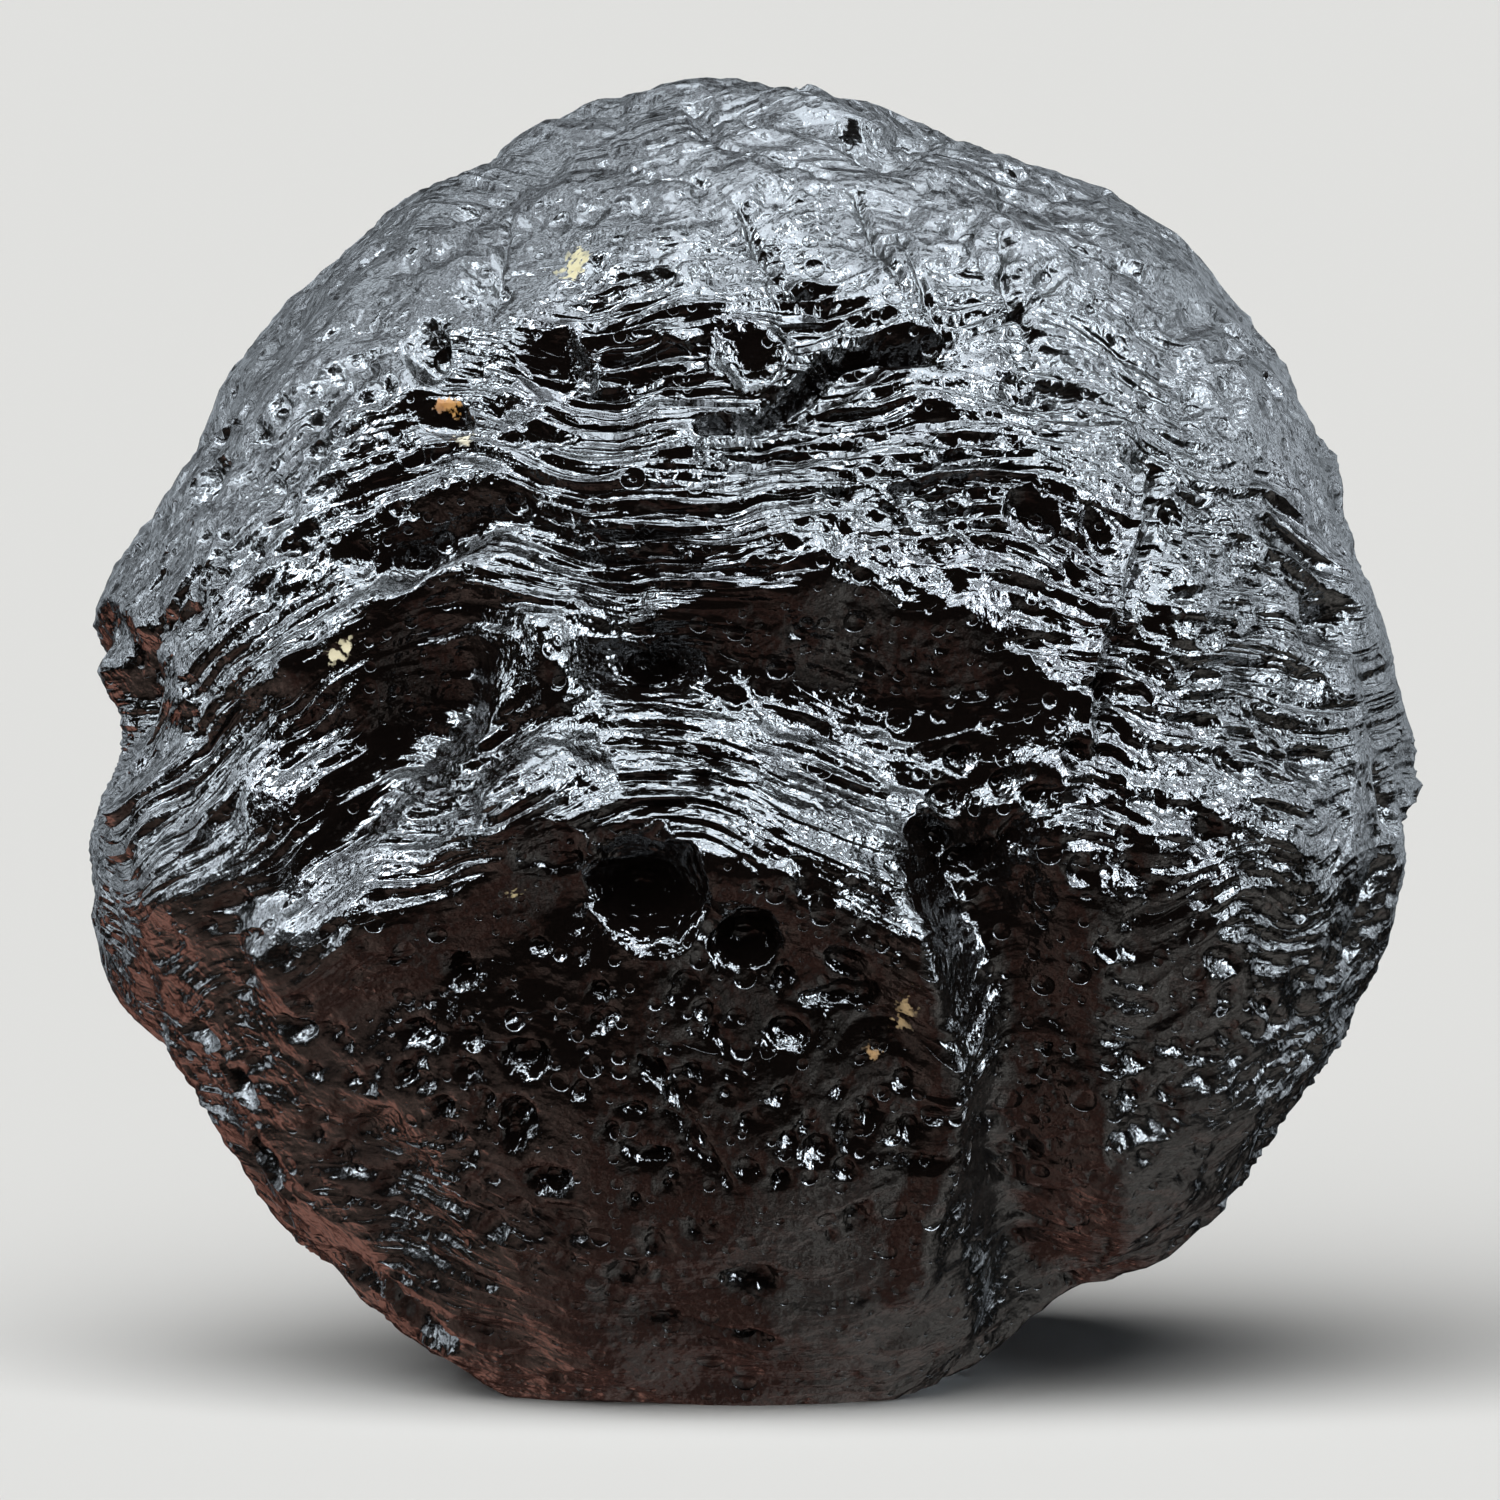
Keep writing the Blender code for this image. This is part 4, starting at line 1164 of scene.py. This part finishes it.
# %% Patterns for the glass
LINE_STEEPNESS = 6.0
NOISE_ROUGHNESS = 0.55


def drawn_out(spacing, length):
    """The coordinates in which a pattern runs along the layers, with this spacing and length in mm."""
    x, y, z = add_node(tree, "ShaderNodeSeparateXYZ", Vector=in_mm).outputs
    half = maths("MULTIPLY", z, 0.5)
    u = maths("DIVIDE", maths("ADD", x, half), length)
    v = maths("DIVIDE", maths("ADD", y, half), length)
    return add_node(tree, "ShaderNodeCombineXYZ", X=maths("DIVIDE", layer, spacing), Y=u, Z=v).outputs[0]


def crest_lines(spacing, length, depth):
    """Sharp crests with round-bottomed grooves between them."""
    noise = add_node(tree, "ShaderNodeTexNoise", Vector=drawn_out(spacing, length), Scale=1.0, Detail=1.0)
    away = maths("ABSOLUTE", maths("SUBTRACT", noise.outputs["Fac"], 0.5))
    return maths("MULTIPLY", maths("MINIMUM", maths("MULTIPLY", away, LINE_STEEPNESS), 1.0), -depth)


def noise_in_mm(size):
    settings = {"Scale": 1 / size, "Detail": 2.0, "Roughness": NOISE_ROUGHNESS}
    return add_node(tree, "ShaderNodeTexNoise", Vector=in_mm, **settings).outputs["Fac"]


def cups(vector, scale, widest, depth):
    """Round-bottomed cups, one in each cell of a random pattern, from nothing up to the widest."""
    cells = add_node(tree, "ShaderNodeTexVoronoi", Vector=vector, Scale=scale)
    chance = add_node(tree, "ShaderNodeSeparateColor", Color=cells.outputs["Color"]).outputs[0]
    edge = maths("MULTIPLY", chance, widest)
    inside = maths("MAXIMUM", maths("SUBTRACT", edge, cells.outputs["Distance"]), 0.0)
    return maths("MULTIPLY", maths("SQRT", inside), -depth)


print("the glass has", len(tree.nodes), "nodes so far")

# %% [markdown]
# ### The finest relief
# Lines and slots come where the mesh says that the glass is lined, and cups and hammering fade there. One
# Bump node turns the sum to a slope. Its distance is one millimetre, so all the heights are in millimetres
# too. The lines are half a millimetre apart at their finest, as in the photo. Real glass has finer ones
# still, which a picture of this size can't show.

# %% Relief in the glass
# Spacing, length and depth of the lines, in mm
FINE_LINES = ((1.00, 9.0, 0.095), (0.55, 7.0, 0.050))
# Spacing and length of the slots, then the radius of the widest for its cell, and its depth
SLOT_PATTERN, SLOT_WIDTH, SLOT_DEPTH = (0.60, 1.9), 0.50, 0.14
# Spacing of the cups, the radius of the widest for its cell, and its depth
ROUND_CUPS = ((1.1, 0.42, 0.30), (0.55, 0.42, 0.13))
# Size and height
HAMMERED = ((0.9, 0.15), (0.3, 0.05))
CUPS_LOST = 0.45

lines = maths("ADD", *(crest_lines(*row) for row in FINE_LINES))
slots = cups(drawn_out(*SLOT_PATTERN), 1.0, SLOT_WIDTH, SLOT_DEPTH)
cut = maths("MULTIPLY", maths("ADD", lines, slots), lined)
round_cups = maths("ADD", *(cups(in_mm, 1 / spacing, *cup) for spacing, *cup in ROUND_CUPS))
hammered = maths("ADD", *(maths("MULTIPLY", noise_in_mm(size), height) for size, height in HAMMERED))
kept = maths("SUBTRACT", 1.0, maths("MULTIPLY", lined, CUPS_LOST))
height = maths("ADD", cut, maths("MULTIPLY", maths("ADD", round_cups, hammered), kept))
bump = add_node(tree, "ShaderNodeBump", Height=height, Distance=MM, Strength=1.0)
tree.links.new(bump.outputs["Normal"], shader.inputs["Normal"])
print("finest lines in the glass:", FINE_LINES[-1][0], "mm apart")

# %% [markdown]
# ### Frost and soil
# The frosted skin differs from the glossy one in roughness alone. The soil covers the glass in grains:
# noise breaks up the edge of each speck, and where it passes the limit the colour is earth and the surface
# is rough.

# %% Frost and soil
GRAIN_SIZE, GRAIN_CONTRAST = 0.22, 2.2
LEAST_SOIL = 0.02
SOIL_ROUGHNESS = 0.7

frosted = {"Value": mark("frost").outputs["Fac"], "To_Min": GLASS_ROUGHNESS, "To_Max": FROST_ROUGHNESS}
matt = add_node(tree, "ShaderNodeMapRange", **frosted).outputs[0]
soil = mark("soil")
broken = maths("MULTIPLY", maths("SUBTRACT", noise_in_mm(GRAIN_SIZE), 0.5), GRAIN_CONTRAST)
grains = maths("ADD", soil.outputs["Alpha"], broken)
grains = maths("MULTIPLY", maths("GREATER_THAN", soil.outputs["Alpha"], LEAST_SOIL), grains)
limits = {"From_Min": GRAINS_FROM, "From_Max": GRAINS_TO}
grains = add_node(tree, "ShaderNodeMapRange", Value=grains, **limits).outputs[0]
colours = {"i6": linear(GLASS), "i7": soil.outputs["Color"]}
earth = add_node(tree, "ShaderNodeMix", {"data_type": "RGBA"}, i0=grains, **colours)
tree.links.new(earth.outputs[2], shader.inputs["Base Color"])
tree.links.new(maths("ADD", matt, maths("MULTIPLY", grains, SOIL_ROUGHNESS)), shader.inputs["Roughness"])
stone.data.materials.append(glass)

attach(stone, "root")
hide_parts("tektite")
print("the finished glass has", len(tree.nodes), "nodes")

# %% [markdown]
# ## The floor
# A plain pale floor, wide enough to fill the view. Black glass mirrors whatever is near it, so the floor
# isn't seen in the reflections, just as a photographer would keep a white table out of them with black
# card.

# %% Floor
FLOOR_SIZE = 8.0
PAPER = "#dcdcda"
PAPER_SURFACE = {"Base Color": linear(PAPER), "Roughness": 0.9, "Specular IOR Level": 0.0}

bpy.ops.object.select_all(action="DESELECT")
bpy.ops.mesh.primitive_plane_add(size=FLOOR_SIZE)
floor = bpy.context.object
floor.name = "studio_floor"
paper = bpy.data.materials.new("matt_paper")
paper.use_nodes = True
for name, value in PAPER_SURFACE.items():
    paper.node_tree.nodes["Principled BSDF"].inputs[name].default_value = value
floor.data.materials.append(paper)
floor.visible_glossy = False
print("floor:", FLOOR_SIZE, "m across")

# %% [markdown]
# ## The light
# A wide soft light from above lights the floor. The stone hardly shows it, because it is black: its look is
# made of what it mirrors.

# %% Overhead light
SUN_TILT = (38, -14, 0)
SUN_LIGHT = 4.3
SUN_WIDTH = 70

bpy.ops.object.light_add(type="SUN", rotation=[math.radians(angle) for angle in SUN_TILT])
sun = bpy.context.object
sun.name = "soft_overhead"
sun.data.energy = SUN_LIGHT
sun.data.angle = math.radians(SUN_WIDTH)
sun.visible_glossy = False
print("overhead light:", SUN_LIGHT, "strong and", SUN_WIDTH, "degrees wide")

# %% [markdown]
# ### The tent
# So the stone stands in a tent of folded white cloth, which is the world's background and lights nothing
# but its reflections. The cloth is bright overhead and at both sides, brightest in a ring round the opening
# where the camera looks in, and dark behind the stone. Its folds give the reflections their grain. Windows
# are lamps outside the cloth, and black cards keep the light off the dark pockets at the two edges of the
# stone.

# %% Values for the tent
TENT_COLOUR = "#e8f4ff"
TENT_LIGHT = 5.5
RING_LIGHT = 28.0
TENT_BEHIND = 0.10
# The dark opening round the lens: its middle and its half size, in degrees of azimuth and elevation
OPENING = (-13, 2, 68, 41)
# Distances from the lens, with 1 on the edge of the opening: where the cloth begins and where the ring
# fades
OPENING_EDGE, RING = (0.92, 1.08), (1.02, 1.55)
# Elevations between which the cloth begins, and how far back it darkens
TENT_FOOT, BEHIND = (-14, 0), (0.3, 0.95)
# The size of the folds, then the noise values between which a fold turns from dark to bright, and its light
FOLDS, FOLD_LIGHT = 7.0, (0.44, 0.58, 0.06, 1.9)
# Azimuth, elevation and half size in degrees, and light, of each bright window in the tent
WINDOWS = (
    (10, 80, 22, 12.0), (-70, 40, 7, 40.0), (72, 34, 6, 40.0), (-25, 64, 5, 60.0), (40, 62, 5, 60.0),
    (115, 52, 5, 50.0), (-60, 12, 4, 40.0), (62, 6, 4, 40.0), (95, 10, 4, 40.0),
)
# Black cards in the tent: azimuth, elevation and half size
CARDS = ((84, 4, 13), (66, -8, 8), (100, 24, 8), (-91, 2, 14))
# The part of a patch's size that is full strength
CARD_MIDDLE, WINDOW_MIDDLE, GLOW_MIDDLE = 0.85, 0.7, 0.2
print("windows:", len(WINDOWS), "and black cards:", len(CARDS))

# %% Hang the tent
world = bpy.data.worlds.new("light_tent")
bpy.context.scene.world = world
world.use_nodes = True
tree = world.node_tree
tree.nodes.clear()
world.cycles_visibility.diffuse = False


def eased(value, low, high, to_low=0.0, to_high=1.0):
    """A value that turns softly from one level to another between two limits."""
    levels = {"From_Min": low, "From_Max": high, "To_Min": to_low, "To_Max": to_high}
    soft = {"interpolation_type": "SMOOTHSTEP"}
    return add_node(tree, "ShaderNodeMapRange", soft, Value=value, **levels).outputs[0]


def patch(azimuth, elevation, size, middle, outside, inside):
    """A round patch of the tent: one value outside it and another in its middle."""
    towards = [float(value) for value in around(azimuth, elevation)]
    dot = {"operation": "DOT_PRODUCT"}
    near = add_node(tree, "ShaderNodeVectorMath", dot, i0=way, i1=towards).outputs["Value"]
    limits = (math.cos(math.radians(size)), math.cos(math.radians(size * middle)))
    return eased(near, *limits, outside, inside)


way = add_node(tree, "ShaderNodeTexCoord").outputs["Generated"]
x, y, z = add_node(tree, "ShaderNodeSeparateXYZ", Vector=way).outputs
elevation = maths("MULTIPLY", maths("ARCSINE", z), 180 / math.pi)
azimuth = maths("MULTIPLY", maths("ARCTAN2", x, maths("MULTIPLY", y, -1.0)), 180 / math.pi)
across = maths("DIVIDE", maths("SUBTRACT", azimuth, OPENING[0]), OPENING[2])
above = maths("DIVIDE", maths("SUBTRACT", elevation, OPENING[1]), OPENING[3])
from_lens = maths("SQRT", maths("ADD", maths("MULTIPLY", across, across), maths("MULTIPLY", above, above)))
tent = maths("MULTIPLY", eased(from_lens, *OPENING_EDGE), eased(elevation, *TENT_FOOT))
tent = maths("MULTIPLY", tent, eased(y, *BEHIND, 1.0, TENT_BEHIND))
tent = maths("MULTIPLY", tent, eased(from_lens, *RING, RING_LIGHT, TENT_LIGHT))
folds = add_node(tree, "ShaderNodeTexNoise", Vector=way, Scale=FOLDS, Detail=2.0).outputs["Fac"]
tent = maths("MULTIPLY", tent, eased(folds, *FOLD_LIGHT))
for *place, size in CARDS:
    tent = maths("MULTIPLY", tent, patch(*place, size, CARD_MIDDLE, 1.0, 0.0))
for *place, size, light in WINDOWS:
    tent = maths("ADD", tent, patch(*place, size, WINDOW_MIDDLE, 0.0, light))
cloth = add_node(tree, "ShaderNodeBackground", Color=linear(TENT_COLOUR), Strength=tent)
print("the tent has", len(tree.nodes), "nodes so far")

# %% [markdown]
# ### What the lower half mirrors
# The undersides of the stone mirror what lies below the tent. In the photo that is dim and warm at the
# left, brown in the middle and grey at the right, and the lower left rim catches a warm glow. The camera
# itself sees none of the tent, only a plain pale backdrop.

# %% Low light and backdrop
# Place from left to right, colour and light
LOW_LIGHT = ((0.1, "#b8a096", 1.5), (0.43, "#a87468", 0.68), (0.8, "#d5d2cd", 1.15))
# The elevations over which it fades upwards, and its folds as for the tent
LOW_EDGE, LOW_FOLDS = (-52, -16), (0.38, 0.62, 0.35, 1.5)
# The glow: azimuth, elevation, half size, colour and light
GLOW = (-148, -31, 18, "#c68a7a", 1.5)

ramp = add_node(tree, "ShaderNodeValToRGB", Fac=maths("ADD", maths("MULTIPLY", x, 0.5), 0.5))
ramp.color_ramp.elements.new(0.5)
for element, (position, colour, light) in zip(ramp.color_ramp.elements, LOW_LIGHT):
    element.position, element.color = position, [c * light for c in linear(colour)[:3]] + [1.0]
low = maths("MULTIPLY", eased(elevation, *LOW_EDGE, 1.0, 0.0), eased(folds, *LOW_FOLDS))
warm = patch(*GLOW[:3], GLOW_MIDDLE, 0.0, GLOW[4])
mirrored = cloth
for colour, strength in ((ramp.outputs["Color"], low), (linear(GLOW[3]), warm)):
    light = add_node(tree, "ShaderNodeBackground", Color=colour, Strength=strength)
    mirrored = add_node(tree, "ShaderNodeAddShader", i0=mirrored.outputs[0], i1=light.outputs[0])
backdrop = add_node(tree, "ShaderNodeBackground", Color=linear(PAPER), Strength=1.0)
seen = add_node(tree, "ShaderNodeLightPath").outputs["Is Camera Ray"]
both = add_node(tree, "ShaderNodeMixShader", Fac=seen, i1=mirrored.outputs[0], i2=backdrop.outputs[0])
add_node(tree, "ShaderNodeOutputWorld", Surface=both.outputs[0])
print("the finished light has", len(tree.nodes), "nodes")

# %% [markdown]
# ## The camera
# The photo was taken from close by with a long lens, or cropped, from a little above. The camera stands at
# the same angle, far enough away that the stone keeps its true shape.

# %% Camera
SENSOR = 36.0
field = PHOTO_SIZE * MM_PER_PIXEL * MM
distance = EYE_DISTANCE * MM
e = math.radians(EYE_ELEVATION)
stand = (0, -distance * math.cos(e), CENTRE_HEIGHT * MM + distance * math.sin(e))
bpy.ops.object.camera_add(location=stand, rotation=(math.radians(90 - EYE_ELEVATION), 0, 0))
camera = bpy.context.object
camera.data.sensor_width = SENSOR
camera.data.lens = SENSOR * distance / field
camera.data.shift_y = (PHOTO_CENTRE[1] - PHOTO_SIZE / 2) / PHOTO_SIZE
camera.data.clip_start = 0.01
camera.data.clip_end = 100
bpy.context.scene.camera = camera
bpy.context.scene.view_settings.view_transform = "Standard"
print("camera:", round(camera.data.lens), "mm lens,", round(distance, 2), "m away")
